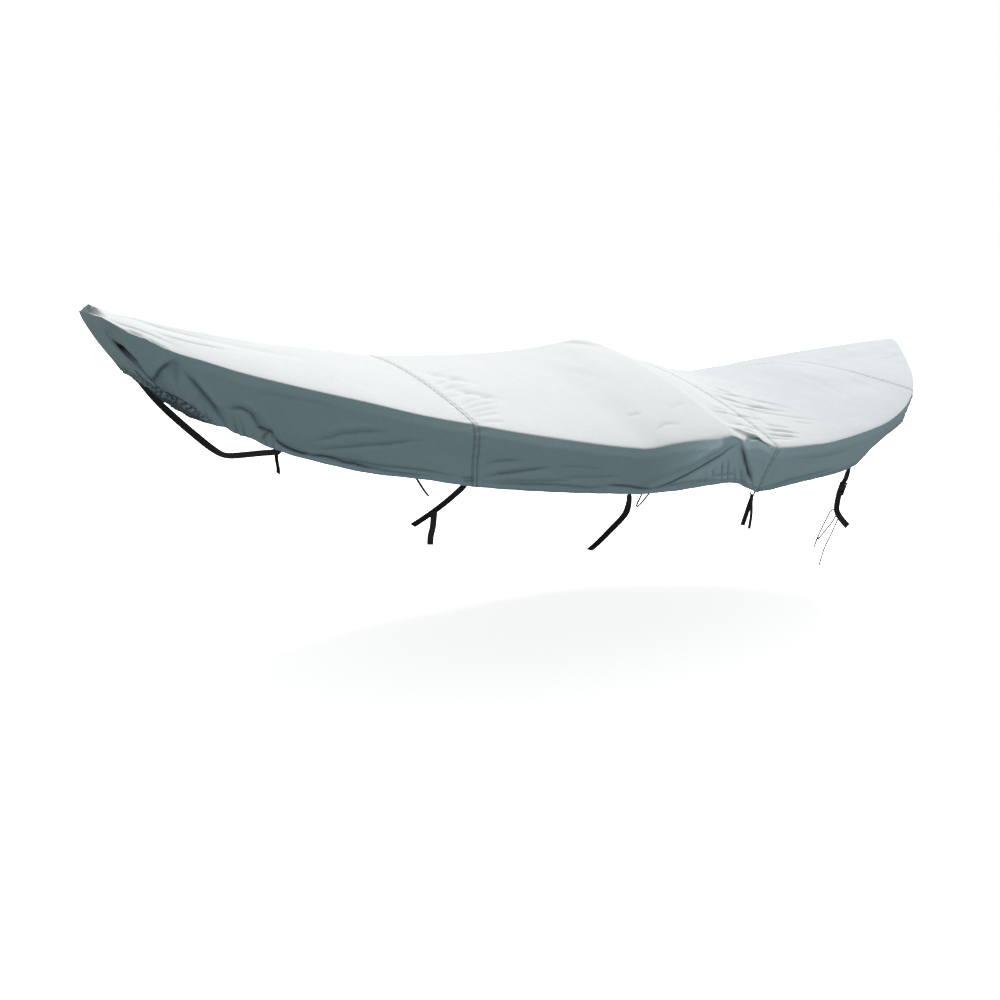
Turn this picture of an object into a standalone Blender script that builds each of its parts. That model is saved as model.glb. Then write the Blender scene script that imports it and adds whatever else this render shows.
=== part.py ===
# Fitted cover for a small high-ended boat: four cloth panels sewn rail to rail, webbing ties below.
# Metres. +X runs to the bow, +Y to port, +Z up. The origin is the point under the top that holds the cover up.
import bpy
import bmesh
import numpy as np
from mathutils import Vector
from mathutils.bvhtree import BVHTree

for old in list(bpy.data.objects):
    bpy.data.objects.remove(old, do_unlink=True)

# ---- named sizes -------------------------------------------------------------------------------
SHEET = 0.0020            # cloth, coated polyester
SEAM_SHEET = 0.0030       # where two panels are lapped and sewn, and at the folded hem
SEAM_HALF = 0.011         # half of a seam's lap
HEM_WIDE = 0.022          # folded hem
GAP = 0.0003              # between touching pieces
HOLD_POINT = np.array((-0.05, 0.0, 1.3335))   # top of the prop under the cloth, above the ground
STERN_X, BOW_X = -2.42, 2.62
SEAMS_X = (-1.24, 0.27, 1.70)
WEB_WIDE, WEB_THICK = 0.025, 0.0018
STERN_SKEW = 0.037        # the hem is pulled up by this much at the port corner of the stern

# One row for each section across the boat. half: half the width at the rail. rail: height of the
# starboard rail, rail_port: of the port one. ridge: height of the middle. hem: height of the hem.
# tuck: how far the hem lies inside the rail. rake: how far it lies forward of it.
SECTIONS = [
    # x      half   rail   rail_port ridge  hem    tuck   rake
    (-2.42, 0.150, 1.440, 1.453, 1.477, 1.192, 0.000, 0.175),
    (-2.35, 0.196, 1.397, 1.404, 1.462, 1.160, 0.004, 0.155),
    (-2.28, 0.247, 1.366, 1.364, 1.443, 1.130, 0.010, 0.135),
    (-2.20, 0.300, 1.324, 1.324, 1.425, 1.090, 0.014, 0.110),
    (-2.13, 0.344, 1.302, 1.300, 1.411, 1.068, 0.016, 0.090),
    (-2.00, 0.424, 1.260, 1.258, 1.388, 1.022, 0.020, 0.060),
    (-1.90, 0.480, 1.234, 1.232, 1.370, 0.986, 0.024, 0.040),
    (-1.74, 0.566, 1.196, 1.196, 1.345, 0.946, 0.024, 0.020),
    (-1.60, 0.636, 1.165, 1.165, 1.328, 0.918, 0.020, 0.008),
    (-1.42, 0.715, 1.123, 1.123, 1.308, 0.897, 0.014, 0.002),
    (-1.24, 0.780, 1.090, 1.090, 1.289, 0.869, 0.008, 0.000),
    (-1.08, 0.828, 1.061, 1.061, 1.287, 0.852, 0.010, 0.000),
    (-0.85, 0.882, 1.024, 1.024, 1.290, 0.831, 0.020, 0.000),
    (-0.60, 0.923, 0.990, 0.994, 1.299, 0.811, 0.030, 0.000),
    (-0.50, 0.932, 0.981, 0.982, 1.306, 0.803, 0.034, 0.000),
    (-0.35, 0.940, 0.995, 0.972, 1.318, 0.803, 0.034, 0.000),
    (-0.18, 0.946, 1.003, 0.960, 1.336, 0.809, 0.036, 0.000),
    (-0.02, 0.944, 1.007, 0.952, 1.343, 0.811, 0.038, 0.000),
    (0.06, 0.946, 0.984, 0.949, 1.332, 0.800, 0.044, 0.000),
    (0.13, 0.952, 0.984, 0.946, 1.310, 0.772, 0.056, 0.000),
    (0.20, 0.956, 0.960, 0.944, 1.290, 0.752, 0.068, 0.000),
    (0.27, 0.957, 0.944, 0.942, 1.270, 0.750, 0.075, 0.000),
    (0.40, 0.953, 0.939, 0.940, 1.246, 0.757, 0.077, 0.000),
    (0.60, 0.944, 0.941, 0.942, 1.205, 0.768, 0.079, 0.000),
    (0.80, 0.928, 0.954, 0.953, 1.189, 0.776, 0.080, 0.000),
    (1.00, 0.904, 0.973, 0.972, 1.196, 0.797, 0.080, 0.000),
    (1.20, 0.875, 0.998, 0.998, 1.216, 0.872, 0.078, -0.002),
    (1.40, 0.832, 1.041, 1.036, 1.232, 0.926, 0.072, -0.006),
    (1.58, 0.770, 1.089, 1.084, 1.231, 0.950, 0.064, -0.012),
    (1.70, 0.714, 1.132, 1.122, 1.230, 0.960, 0.056, -0.018),
    (1.80, 0.655, 1.167, 1.156, 1.238, 0.968, 0.048, -0.026),
    (1.90, 0.594, 1.191, 1.186, 1.250, 0.978, 0.040, -0.036),
    (2.10, 0.450, 1.241, 1.240, 1.282, 1.008, 0.032, -0.058),
    (2.30, 0.290, 1.291, 1.290, 1.316, 1.046, 0.024, -0.082),
    (2.46, 0.158, 1.330, 1.330, 1.344, 1.080, 0.012, -0.104),
    (2.56, 0.068, 1.355, 1.355, 1.360, 1.104, 0.005, -0.120),
    (2.62, 0.000, 1.370, 1.370, 1.370, 1.118, 0.000, -0.130),
]
COLUMNS = ("x", "half", "rail", "rail_port", "ridge", "hem", "tuck", "rake")

# Folds in the hanging side of the starboard skirt. x and down give each end of the fold, down from
# 0 at the rail to 1 at the hem; wide is its half width and push its depth (out of the cloth if
# positive). A sharp fold drops at once on its bow side, as a lapped pleat does.
SKIRT_FOLDS = [
    # name            x0      down0  x1      down1  wide   push
    ("corner_valley", -2.412, 0.08, -2.330, 0.62, 0.022, -0.016),
    ("corner_valley_low", -2.330, 0.62, -2.262, 0.98, 0.020, -0.020),
    ("corner_bulge", -2.330, 0.20, -2.215, 0.75, 0.045, 0.012),
    ("short_valley", -2.225, 0.20, -2.290, 0.62, 0.022, -0.010),
    ("second_valley", -2.165, 0.52, -2.095, 0.99, 0.024, -0.012),
    ("third_valley", -1.985, 0.52, -1.930, 0.97, 0.024, -0.011),
    ("hem_fold", -1.930, 0.84, -1.560, 0.93, 0.016, -0.008),
    ("hem_roll", -1.900, 0.97, -1.500, 1.00, 0.020, 0.007),
    ("long_pull", 0.000, 0.10, -0.230, 0.56, 0.022, -0.012),
    ("long_pull_low", -0.230, 0.56, -0.560, 0.90, 0.020, -0.009),
    ("pull_ridge", -0.060, 0.12, -0.300, 0.52, 0.034, 0.008),
    ("mid_ripple", -1.420, 0.55, -1.000, 0.66, 0.030, -0.005),
    ("mid_ripple_low", -1.150, 0.80, -0.760, 0.86, 0.026, 0.005),
    ("fore_ripple", 0.480, 0.50, 0.900, 0.42, 0.030, -0.005),
]
# The lapped wedge of cloth aft of the second seam: its crease line and its far side, and its lift.
WEDGE = dict(top_aft=0.020, bottom_aft=0.112, top_fore=0.262, bottom_fore=0.180, lift=0.013)

# Folds in the top. Ends in x and y; wide is the half width and push the height.
TOP_FOLDS = [
    # name            x0      y0      x1      y1     wide   push
    ("prop_peak", -0.120, -0.06, -0.010, 0.06, 0.110, 0.016),
    ("prop_run", -0.080, -0.10, -0.420, -0.42, 0.070, 0.008),
    ("saddle_crease_1", 0.420, -0.22, 0.520, -0.74, 0.034, -0.012),
    ("saddle_crease_2", 0.560, -0.18, 0.660, -0.66, 0.030, -0.009),
    ("saddle_ridge_1", 0.490, -0.20, 0.590, -0.70, 0.030, 0.008),
    ("dart_crease", 0.330, -0.58, 0.400, -0.88, 0.026, -0.011),
    ("seam_pucker_1", -1.180, -0.30, -1.010, -0.42, 0.022, -0.006),
    ("seam_pucker_2", -1.160, -0.48, -0.990, -0.58, 0.022, -0.006),
    ("stern_streak_1", -2.330, -0.06, -1.700, -0.24, 0.026, -0.007),
    ("stern_streak_2", -2.300, 0.02, -1.620, 0.02, 0.026, -0.006),
    ("stern_valley", -2.385, -0.06, -2.300, 0.02, 0.040, -0.008),
    ("bow_run", 1.750, -0.05, 2.450, -0.02, 0.060, 0.006),
    ("bow_dip", 1.200, -0.45, 1.620, -0.50, 0.090, -0.010),
    ("port_run", -0.080, 0.10, -0.420, 0.44, 0.070, 0.008),
    ("port_crease_1", 0.420, 0.24, 0.520, 0.72, 0.034, -0.010),
    ("port_crease_2", -0.420, 0.50, -0.560, 0.84, 0.034, -0.008),
    ("port_crease_3", 1.050, 0.30, 1.200, 0.70, 0.034, -0.008),
]

# ---- the sheet -----------------------------------------------------------------------------------
TABLE = np.array(SECTIONS)


def column(name, x):
    """A column of SECTIONS at x: smooth, and flat where the table is."""
    xs, ys = TABLE[:, 0], TABLE[:, COLUMNS.index(name)]
    step, rise = np.diff(xs), np.diff(ys)
    slope = rise / step
    bend = np.empty_like(ys)
    bend[0], bend[-1] = slope[0], slope[-1]
    same = slope[:-1] * slope[1:] > 0
    bend[1:-1] = np.where(same, 2 * slope[:-1] * slope[1:] / np.where(same, slope[:-1] + slope[1:], 1), 0)
    k = int(np.clip(np.searchsorted(xs, x) - 1, 0, len(step) - 1))
    t = (x - xs[k]) / step[k]
    return float((2 * t**3 - 3 * t**2 + 1) * ys[k] + (t**3 - 2 * t**2 + t) * step[k] * bend[k]
                 + (3 * t**2 - 2 * t**3) * ys[k + 1] + (t**3 - t**2) * step[k] * bend[k + 1])


def fold_weight(x, y, row, across=1.0):
    """Nearness of (x, y) to a fold: 1 on its line, 0 past its half width and its ends."""
    _, x0, y0, x1, y1, wide, push = row
    along = np.array((x1 - x0, (y1 - y0) * across))
    away = np.array((x - x0, (y - y0) * across))
    size = along @ along
    t = np.clip(away @ along / size, 0.0, 1.0)
    near = np.hypot(*(away - t * along)) / (wide * 1.6)
    ends = np.clip(min(t, 1 - t) * 5.0, 0.35, 1.0)
    return push * ends * np.exp(-near * near * 1.8)


def wedge_lift(x, down):
    """Height of the lapped wedge: it rises at once at its crease and dies away to the seam."""
    aft = WEDGE["top_aft"] + (WEDGE["bottom_aft"] - WEDGE["top_aft"]) * down
    fore = WEDGE["top_fore"] + (WEDGE["bottom_fore"] - WEDGE["top_fore"]) * down
    across = (x - aft) / (fore - aft)
    if across < -0.15 or across > 1.6:
        return 0.0
    rise = np.clip((across + 0.15) / 0.20, 0, 1)
    fall = np.clip((1.6 - across) / 0.9, 0, 1)
    return WEDGE["lift"] * rise * rise * (3 - 2 * rise) * fall * np.clip(down * 3.0, 0, 1)


def inset(x):
    """How far the top's edge lies inside the widest line of the skirt."""
    return 0.012 * float(np.clip((column("half", x) - 0.13) / 0.30, 0.0, 1.0))


def skirt_point(x, down, side):
    """A point of the hanging skirt; side is -1 to starboard and 1 to port."""
    rail = column("rail" if side < 0 else "rail_port", x)
    hem, half, tuck = column("hem", x), column("half", x), column("tuck", x)
    if side > 0:
        hem += STERN_SKEW * float(np.clip((-1.70 - x) / 0.60, 0.0, 1.0))
    deep = rail - hem
    drop = down * deep
    round_over = inset(x) * np.clip(drop / 0.035, 0, 1)    # the cloth rounds over the gunwale
    out = half - inset(x) - tuck * down + round_over
    z = rail - drop - 0.004 * np.clip(drop / 0.035, 0, 1)
    px = x + column("rake", x) * down**1.6
    fade = min(1.0, max(half - 0.05, 0.0) / 0.1)
    if side < 0:
        push = sum(fold_weight(x, down, row, 0.2) for row in SKIRT_FOLDS) + wedge_lift(x, down)
    else:
        push = 0.005 * np.sin(x * 11.0 + 0.7) * down
    # loose waves in the hem, stronger over the gathered stern end
    gather = np.clip((-1.75 - x) / 0.35, 0.15, 1.0)
    wave = np.sin(x * 46.0 + side) + 0.6 * np.sin(x * 29.0 + 2.0)
    push += 0.0035 * gather * wave * down**3
    z += 0.0030 * gather * np.sin(x * 61.0 + 1.3 * side) * down**4
    return np.array((px, side * max(out + push * fade, 0.0), z))


def top_point(x, w):
    """A point of the top; w runs from -1 at the starboard rail to 1 at the port rail."""
    side = -1 if w < 0 else 1
    half = column("half", x) - inset(x)
    rail = column("rail" if side < 0 else "rail_port", x)
    ridge = column("ridge", x)
    u = 1.0 - abs(w)
    arch = 0.5 * u**0.7 + 0.5 * np.sin(u * np.pi / 2)
    y = w * half
    z = rail + (ridge - rail) * arch
    fade = min(1.0, half / 0.1) * np.clip(u * 9.0, 0, 1)
    push = sum(fold_weight(x, y, row) for row in TOP_FOLDS)
    return np.array((x, y, z + push * fade))


def stations():
    """Section positions: close at the seams and the ends, wider between."""
    spans = [(STERN_X, SEAMS_X[0], 21), (SEAMS_X[0], SEAMS_X[1], 24),
             (SEAMS_X[1], SEAMS_X[2], 20), (SEAMS_X[2], BOW_X, 14)]
    found = []
    for k, (a, b, count) in enumerate(spans):
        lo = a + (SEAM_HALF if k else 0.0)
        hi = b - (SEAM_HALF if k < 3 else 0.0)
        inner = list(np.linspace(lo, hi, count))
        if k:
            inner.insert(1, a + SEAM_HALF + 0.003)
        if k < 3:
            inner.insert(-1, b - SEAM_HALF - 0.003)
        found.append([a] + inner + [b] if 0 < k < 3 else (inner + [b] if k == 0 else [a] + inner))
    return found


def downs(x, side):
    """Rows down the skirt, 0 at the rail and 1 at the hem."""
    deep = column("rail", x) - column("hem", x)
    hem = HEM_WIDE / deep
    return [0.035 / deep, 0.34, 0.52, 0.70, 1 - hem - 0.003 / deep, 1 - hem, 1.0]


TOP_STEPS = [-1.0, -0.955, -0.88, -0.76, -0.62, -0.46, -0.30, -0.14]
TOP_ROWS = TOP_STEPS + [0.0] + [-w for w in reversed(TOP_STEPS)]


def section(x):
    """The whole section at x, from the starboard hem up, across the top and down to the port hem."""
    near = [skirt_point(x, d, -1) for d in reversed(downs(x, -1))]
    over = [top_point(x, w) for w in TOP_ROWS]
    far = [skirt_point(x, d, 1) for d in downs(x, 1)]
    return near + over + far


SKIRT_ROWS = 7
ROWS = 2 * SKIRT_ROWS + len(TOP_ROWS)
HEM_ROWS = {0, 1, ROWS - 2, ROWS - 1}


def stern_wall():
    """The cloth across the narrow stern: columns from starboard to port, rows from the top down."""
    x = STERN_X
    left = [top_point(x, -1.0)] + [skirt_point(x, d, -1) for d in downs(x, -1)]
    right = [top_point(x, 1.0)] + [skirt_point(x, d, 1) for d in downs(x, 1)]
    edge = [top_point(x, w) for w in TOP_ROWS]
    wall = []
    for k, w in enumerate(TOP_ROWS):
        t = (w + 1) / 2
        run = []
        for r in range(SKIRT_ROWS + 1):
            base = left[r] * (1 - t) + right[r] * t
            lift = edge[k] - (left[0] * (1 - t) + right[0] * t)
            run.append(base + lift * (1 - r / SKIRT_ROWS)**2 + np.array((-0.004 * np.sin(np.pi * t), 0, 0)) * min(1, r))
        wall.append(run)
    return wall


def new_object(name, points, faces, colour, rough):
    mesh = bpy.data.meshes.new(name)
    mesh.from_pydata([tuple(p) for p in points], [], faces)
    mesh.validate()
    work = bmesh.new()
    work.from_mesh(mesh)
    bmesh.ops.recalc_face_normals(work, faces=work.faces)
    work.to_mesh(mesh)
    work.free()
    made = bpy.data.objects.new(name, mesh)
    bpy.context.scene.collection.objects.link(made)
    paint = bpy.data.materials.new(name)
    paint.use_nodes = True
    shader = paint.node_tree.nodes["Principled BSDF"]
    shader.inputs["Base Color"].default_value = (*colour, 1.0)
    shader.inputs["Roughness"].default_value = rough
    mesh.materials.append(paint)
    return made


CLOTH = (0.33, 0.38, 0.39)
WEBBING = (0.012, 0.012, 0.014)


def build_cloth():
    """One welded sheet for the whole cover, cut into its four panels and given its thickness."""
    spans = stations()
    points, index, faces = [], {}, []          # faces: (corner list, panel number)

    def vertex(p, tag=""):
        key = (round(p[0], 5), round(p[1], 5), round(p[2], 5), tag)
        if key not in index:
            index[key] = len(points)
            points.append(np.array(p, float))
            thick.append(SHEET)
        return index[key]

    thick, seam_at = [], {}                    # seam_at: vertex on a seam, and which
    for panel, span in enumerate(spans):
        last = None
        for x in span:
            loop = section(x)
            ids = [vertex(p) for p in loop]
            edge = min(abs(x - s) for s in SEAMS_X) < SEAM_HALF + 0.0005
            for r, i in enumerate(ids):
                if x in SEAMS_X:
                    seam_at[i] = x
                if edge or r in HEM_ROWS:
                    thick[i] = SEAM_SHEET
            if last is not None:
                for r in range(ROWS - 1):
                    quad = [last[r], ids[r], ids[r + 1], last[r + 1]]
                    ring = [v for k, v in enumerate(quad) if v != quad[k - 1]]
                    if len(set(ring)) == len(ring) and len(ring) > 2:
                        faces.append((ring, panel))
            last = ids
    wall = stern_wall()
    low = {SKIRT_ROWS, SKIRT_ROWS - 1}
    ids = [[vertex(p) for p in run] for run in wall]
    for run in ids:
        for r, i in enumerate(run):
            if r in low:
                thick[i] = SEAM_SHEET
    for k in range(len(ids) - 1):
        for r in range(SKIRT_ROWS):
            quad = [ids[k][r], ids[k + 1][r], ids[k + 1][r + 1], ids[k][r + 1]]
            faces.append((quad, 0))

    points = np.array(points)
    normals = np.zeros_like(points)
    turned = []
    for ring, panel in faces:
        p = points[ring]
        n = np.zeros(3)
        for k in range(1, len(ring) - 1):
            n += np.cross(p[k] - p[0], p[k + 1] - p[0])
        turned.append((ring, panel, n / max(np.linalg.norm(n), 1e-12)))
        for v in ring:
            normals[v] += n
    normals /= np.maximum(np.linalg.norm(normals, axis=1, keepdims=True), 1e-12)
    # at a bend the inner sheet is set further back, so that the cloth keeps its thickness
    facing = np.ones(len(points))
    for ring, panel, n in turned:
        for v in ring:
            facing[v] = min(facing[v], max(normals[v] @ n, 0.72))
    reach = 1.0 / np.sqrt(facing)
    names = ("stern_panel", "aft_panel", "forward_panel", "bow_panel")
    for panel, name in enumerate(names):
        mine = [ring for ring, number, _ in turned if number == panel]
        used = sorted({v for ring in mine for v in ring})
        place = {v: k for k, v in enumerate(used)}
        lo = SEAMS_X[panel - 1] if panel else None
        outer, inner = [], []
        for v in used:
            n = normals[v].copy()
            shift = np.zeros(3)
            if v in seam_at:
                n[0] = 0.0
                n /= np.linalg.norm(n)
                shift[0] = GAP / 2 if seam_at[v] == lo else -GAP / 2
            extra = (thick[v] - SHEET) / 2
            outer.append(points[v] + shift + n * extra - HOLD_POINT)
            inner.append(points[v] + shift - n * (SHEET * reach[v] + extra) - HOLD_POINT)
        count = len(used)
        rings = [[place[v] for v in ring] for ring in mine]
        sides = {}
        for ring in rings:
            for k in range(len(ring)):
                a, b = ring[k - 1], ring[k]
                sides[(a, b)] = True
        rim = [(a, b) for a, b in sides if (b, a) not in sides]
        solid = rings + [[v + count for v in reversed(ring)] for ring in rings]
        solid += [[b, a, a + count, b + count] for a, b in rim]
        new_object(name, outer + inner, solid, CLOTH, 0.85)


# ---- the ties --------------------------------------------------------------------------------------
DOWN = np.array((0.0, 0.0, -1.0))
LAID = {}                 # stations of each tie laid so far: (left edge, right edge, way its flat side faces)


def unit(v):
    return np.array(v, float) / np.linalg.norm(v)


def free_run(path, face, wide, first, last):
    """Stations of a free run; it can start and end turned another way than face."""
    found, count = [], len(path)
    for k, p in enumerate(path):
        run = unit(path[min(k + 1, count - 1)] - path[max(k - 1, 0)])
        start = max(1 - k / (0.22 * count), 0.0) if first is not None else 0.0
        end = max(1 - (count - 1 - k) / (0.22 * count), 0.0) if last is not None else 0.0
        turned = np.array(face, float) * (1 - start - end)
        if start:
            turned = turned + np.array(first, float) * start
        if end:
            turned = turned + np.array(last, float) * end
        side = unit(np.cross(turned, run))
        found.append((p - side * wide / 2, p + side * wide / 2, np.cross(run, side)))
    return found


def sewn_end(at, out, levels, wide, run):
    """Two stations flat against the inner face of the hem, between these heights."""
    out = unit(out)
    across = np.cross(out, run)
    rows = []
    beyond = 0.0025 * np.sign(levels[0] - levels[1])
    for z in np.linspace(levels[0] + beyond, levels[1] - beyond, 7):
        row = []
        for e in np.linspace(-0.6, 0.6, 9):
            origin = np.array((at[0], at[1], z)) + across * e * wide - out * 0.25 - HOLD_POINT
            spot = CLOTH_INSIDE.ray_cast(Vector(origin), Vector(out))[0]
            row.append(np.array(spot) + HOLD_POINT)
        rows.append(row)
    spots = np.array(rows).reshape(-1, 3)
    flat = np.linalg.svd(spots - spots.mean(axis=0))[2][2]
    flat = flat * (1 if flat @ out > 0 else -1)
    level = (spots @ flat).min() - 1.3 * GAP - WEB_THICK / 2      # clear of the innermost fold
    side = unit(across - flat * (across @ flat))
    found = []
    for row in (rows[1], rows[-2]):
        centre = np.mean(row, axis=0)
        centre = centre + flat * (level - centre @ flat)
        found.append((centre - side * wide / 2, centre + side * wide / 2, flat))
    return found


def laid_on(name, share, off=0.0):
    """The middle of a laid tie at this share of its run, its width direction and its flat side."""
    left, right, flat = LAID[name][int(round(share * (len(LAID[name]) - 1)))]
    return (left + right) / 2 + flat * off, unit(right - left), unit(flat)


def lapped(centre, flat, run, reach, wide):
    """Two stations that lie flat on another piece, reach apart."""
    flat = unit(flat)
    run = unit(run - flat * (run @ flat))
    side = np.cross(flat, run)
    return [(centre + run * s * reach / 2 - side * wide / 2, centre + run * s * reach / 2 + side * wide / 2, flat)
            for s in (-1, 1)]


def ribbon(name, stations, thick=WEB_THICK, colour=(0.012, 0.012, 0.014), rough=0.7):
    """Flat webbing through its stations."""
    points, faces = [], []
    for left, right, flat in stations:
        for edge, f in ((left, -1), (right, -1), (right, 1), (left, 1)):
            points.append(edge + flat * f * thick / 2 - HOLD_POINT)
    for k in range(len(stations) - 1):
        for c in range(4):
            d = (c + 1) % 4
            faces.append([4 * k + c, 4 * k + d, 4 * k + 4 + d, 4 * k + 4 + c])
    faces.append([3, 2, 1, 0])
    end = 4 * (len(stations) - 1)
    faces.append([end, end + 1, end + 2, end + 3])
    LAID[name] = stations
    return new_object(name, points, faces, colour, rough)


STARBOARD, PORT, AFT = (0.0, -1.0, 0.0), (0.0, 1.0, 0.0), (-1.0, 0.0, 0.0)
LAP = WEB_THICK + GAP

# Ties of flat webbing. sewn: where its first end is sewn inside the hem, the way out through the
# cloth and the heights of the stitching; sewn_last: its other end. points: its free run below.
TIES = [
    dict(name="stern_tie", wide=0.028, face=(-0.30, -0.90, -0.20), first=(-0.80, 0.0, -0.57),
         sewn=dict(at=(-2.25, 0.075), out=AFT, levels=(1.236, 1.224)),
         sewn_last=dict(at=(-1.862, -0.44), out=STARBOARD, levels=(0.995, 1.007)),
         points=[
        (-2.2260, 0.075, 1.2060), (-2.2020, 0.075, 1.181),
        (-2.1510, 0.070, 1.129), (-2.0930, 0.060, 1.073), (-2.0380, 0.045, 1.022), (-1.9850, 0.015, 0.973),
        (-1.9530, -0.025, 0.942), (-1.9360, -0.085, 0.926), (-1.9250, -0.145, 0.926), (-1.9030, -0.240, 0.943),
        (-1.8840, -0.335, 0.962), (-1.8710, -0.402, 0.974), (-1.8640, -0.425, 0.980)]),
    dict(name="rear_tie", wide=0.026, face=(-0.30, -0.85, -0.35), first=STARBOARD,
         sewn=dict(at=(-1.272, -0.75), out=STARBOARD, levels=(0.889, 0.876)), points=[
        (-1.2740, -0.7450, 0.862), (-1.2960, -0.733, 0.838), (-1.3270, -0.700, 0.796),
        (-1.3490, -0.650, 0.753), (-1.3630, -0.600, 0.717), (-1.3740, -0.575, 0.698)]),
    dict(name="middle_tie", wide=0.029, face=(-0.40, -0.80, -0.35), first=STARBOARD,
         sewn=dict(at=(-0.563, -0.88), out=STARBOARD, levels=(0.826, 0.813)), points=[
        (-0.5620, -0.8780, 0.799), (-0.5440, -0.860, 0.764), (-0.5240, -0.820, 0.706),
        (-0.5260, -0.740, 0.624), (-0.5150, -0.650, 0.547), (-0.5080, -0.605, 0.514)]),
    dict(name="middle_loop", wide=0.009, face=(-0.20, -0.80, -0.40), first=STARBOARD, last=STARBOARD,
         sewn=dict(at=(-0.499, -0.88), out=STARBOARD, levels=(0.822, 0.810)),
         sewn_last=dict(at=(-0.455, -0.88), out=STARBOARD, levels=(0.810, 0.822)), points=[
        (-0.4980, -0.8840, 0.797), (-0.4960, -0.867, 0.768), (-0.4930, -0.850, 0.742),
        (-0.4790, -0.850, 0.742), (-0.4680, -0.867, 0.768), (-0.4560, -0.8840, 0.797)]),
    dict(name="front_loop", wide=0.010, face=STARBOARD,
         sewn=dict(at=(0.178, -0.88), out=STARBOARD, levels=(0.780, 0.769)),
         sewn_last=dict(at=(0.211, -0.88), out=STARBOARD, levels=(0.765, 0.776)), points=[
        (0.178, -0.8735, 0.748), (0.184, -0.8735, 0.734), (0.192, -0.8735, 0.729),
        (0.200, -0.8735, 0.734), (0.210, -0.8735, 0.748)]),
    dict(name="front_tie", wide=0.024, face=(-0.30, -0.92, -0.20), first=STARBOARD, points=[
        (0.187, -0.8735 - LAP, 0.738), (0.184, -0.8735 - LAP, 0.722), (0.176, -0.8710, 0.692),
        (0.168, -0.8640, 0.655), (0.159, -0.8510, 0.600)]),
    dict(name="front_tie_tail", wide=0.015, face=(-0.30, -0.95, 0.0), first=STARBOARD, points=[
        (0.188, -0.8735 - 2 * LAP, 0.737), (0.183, -0.8735 - 2 * LAP, 0.723), (0.177, -0.8810, 0.700),
        (0.169, -0.8880, 0.650), (0.160, -0.8860, 0.592)]),
]
PORT_TIES = ("rear_tie", "middle_tie")


# The bow buckle: a flat plate with two slots. Cuts along and across it, in metres from its centre.
BUCKLE_LONG = (-0.034, -0.028, -0.018, 0.008, 0.018, 0.034)
BUCKLE_WIDE = (-0.018, -0.012, 0.012, 0.018)
BUCKLE_SLOTS = ((1, 1), (3, 1))
BUCKLE_THICK = 0.006


def buckle(name, centre, down, face):
    """A plate made of the cells between the cuts, its slots left open; down runs along the tie."""
    down, face = np.array(down, float), np.array(face, float)
    down /= np.linalg.norm(down)
    face -= down * (face @ down)
    face /= np.linalg.norm(face)
    across = np.cross(face, down)
    cells = {(i, j) for i in range(len(BUCKLE_LONG) - 1) for j in range(len(BUCKLE_WIDE) - 1)}
    cells -= set(BUCKLE_SLOTS)
    points, faces, index = [], [], {}

    def corner(i, j, side):
        if (i, j, side) not in index:
            index[(i, j, side)] = len(points)
            points.append(np.array(centre) + down * BUCKLE_LONG[i] + across * BUCKLE_WIDE[j]
                          + face * side * BUCKLE_THICK / 2 - HOLD_POINT)
        return index[(i, j, side)]

    for i, j in sorted(cells):
        ring = [(i, j), (i + 1, j), (i + 1, j + 1), (i, j + 1)]
        for side in (-1, 1):
            faces.append([corner(a, b, side) for a, b in ring[::side]])
        for k, (di, dj) in enumerate(((0, -1), (1, 0), (0, 1), (-1, 0))):
            if (i + di, j + dj) not in cells:
                a, b = ring[k], ring[(k + 1) % 4]
                faces.append([corner(*a, -1), corner(*b, -1), corner(*b, 1), corner(*a, 1)])
    return new_object(name, points, faces, (0.010, 0.010, 0.011), 0.45)


CORD_WIDE = 0.0045
# Three thin cords. share and across: where each leaves the bow tie's free end.
CORDS = [
    dict(name="bow_cord_1", share=0.34, across=-0.35, run=[
        (0.9260, -0.760, 0.5720), (0.8950, -0.748, 0.517), (0.8420, -0.748, 0.448), (0.8190, -0.748, 0.407)]),
    dict(name="bow_cord_2", share=0.42, across=-0.25, run=[
        (0.9560, -0.750, 0.5170), (0.9290, -0.733, 0.475), (0.8740, -0.728, 0.433)]),
    dict(name="bow_cord_3", share=0.50, across=-0.02, run=[
        (0.9860, -0.742, 0.488), (0.9780, -0.722, 0.432), (0.9580, -0.706, 0.372), (0.9260, -0.703, 0.295)]),
]


def smooth_run(knots, step):
    """Even points on a smooth curve through the knots."""
    k = np.array(knots)
    ends = np.vstack([2 * k[0] - k[1], k, 2 * k[-1] - k[-2]])
    dense = []
    for i in range(1, len(ends) - 2):
        p0, p1, p2, p3 = ends[i - 1:i + 3]
        for t in np.linspace(0, 1, 24, endpoint=False):
            dense.append(0.5 * (2 * p1 + (p2 - p0) * t + (2 * p0 - 5 * p1 + 4 * p2 - p3) * t * t
                                + (3 * p1 - p0 - 3 * p2 + p3) * t**3))
    dense = np.array(dense + [k[-1]])
    far = np.r_[0, np.cumsum(np.linalg.norm(np.diff(dense, axis=0), axis=1))]
    marks = np.linspace(0, far[-1], max(int(far[-1] / step), 2) + 1)
    return np.array([[np.interp(m, far, dense[:, c]) for c in range(3)] for m in marks])


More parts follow.
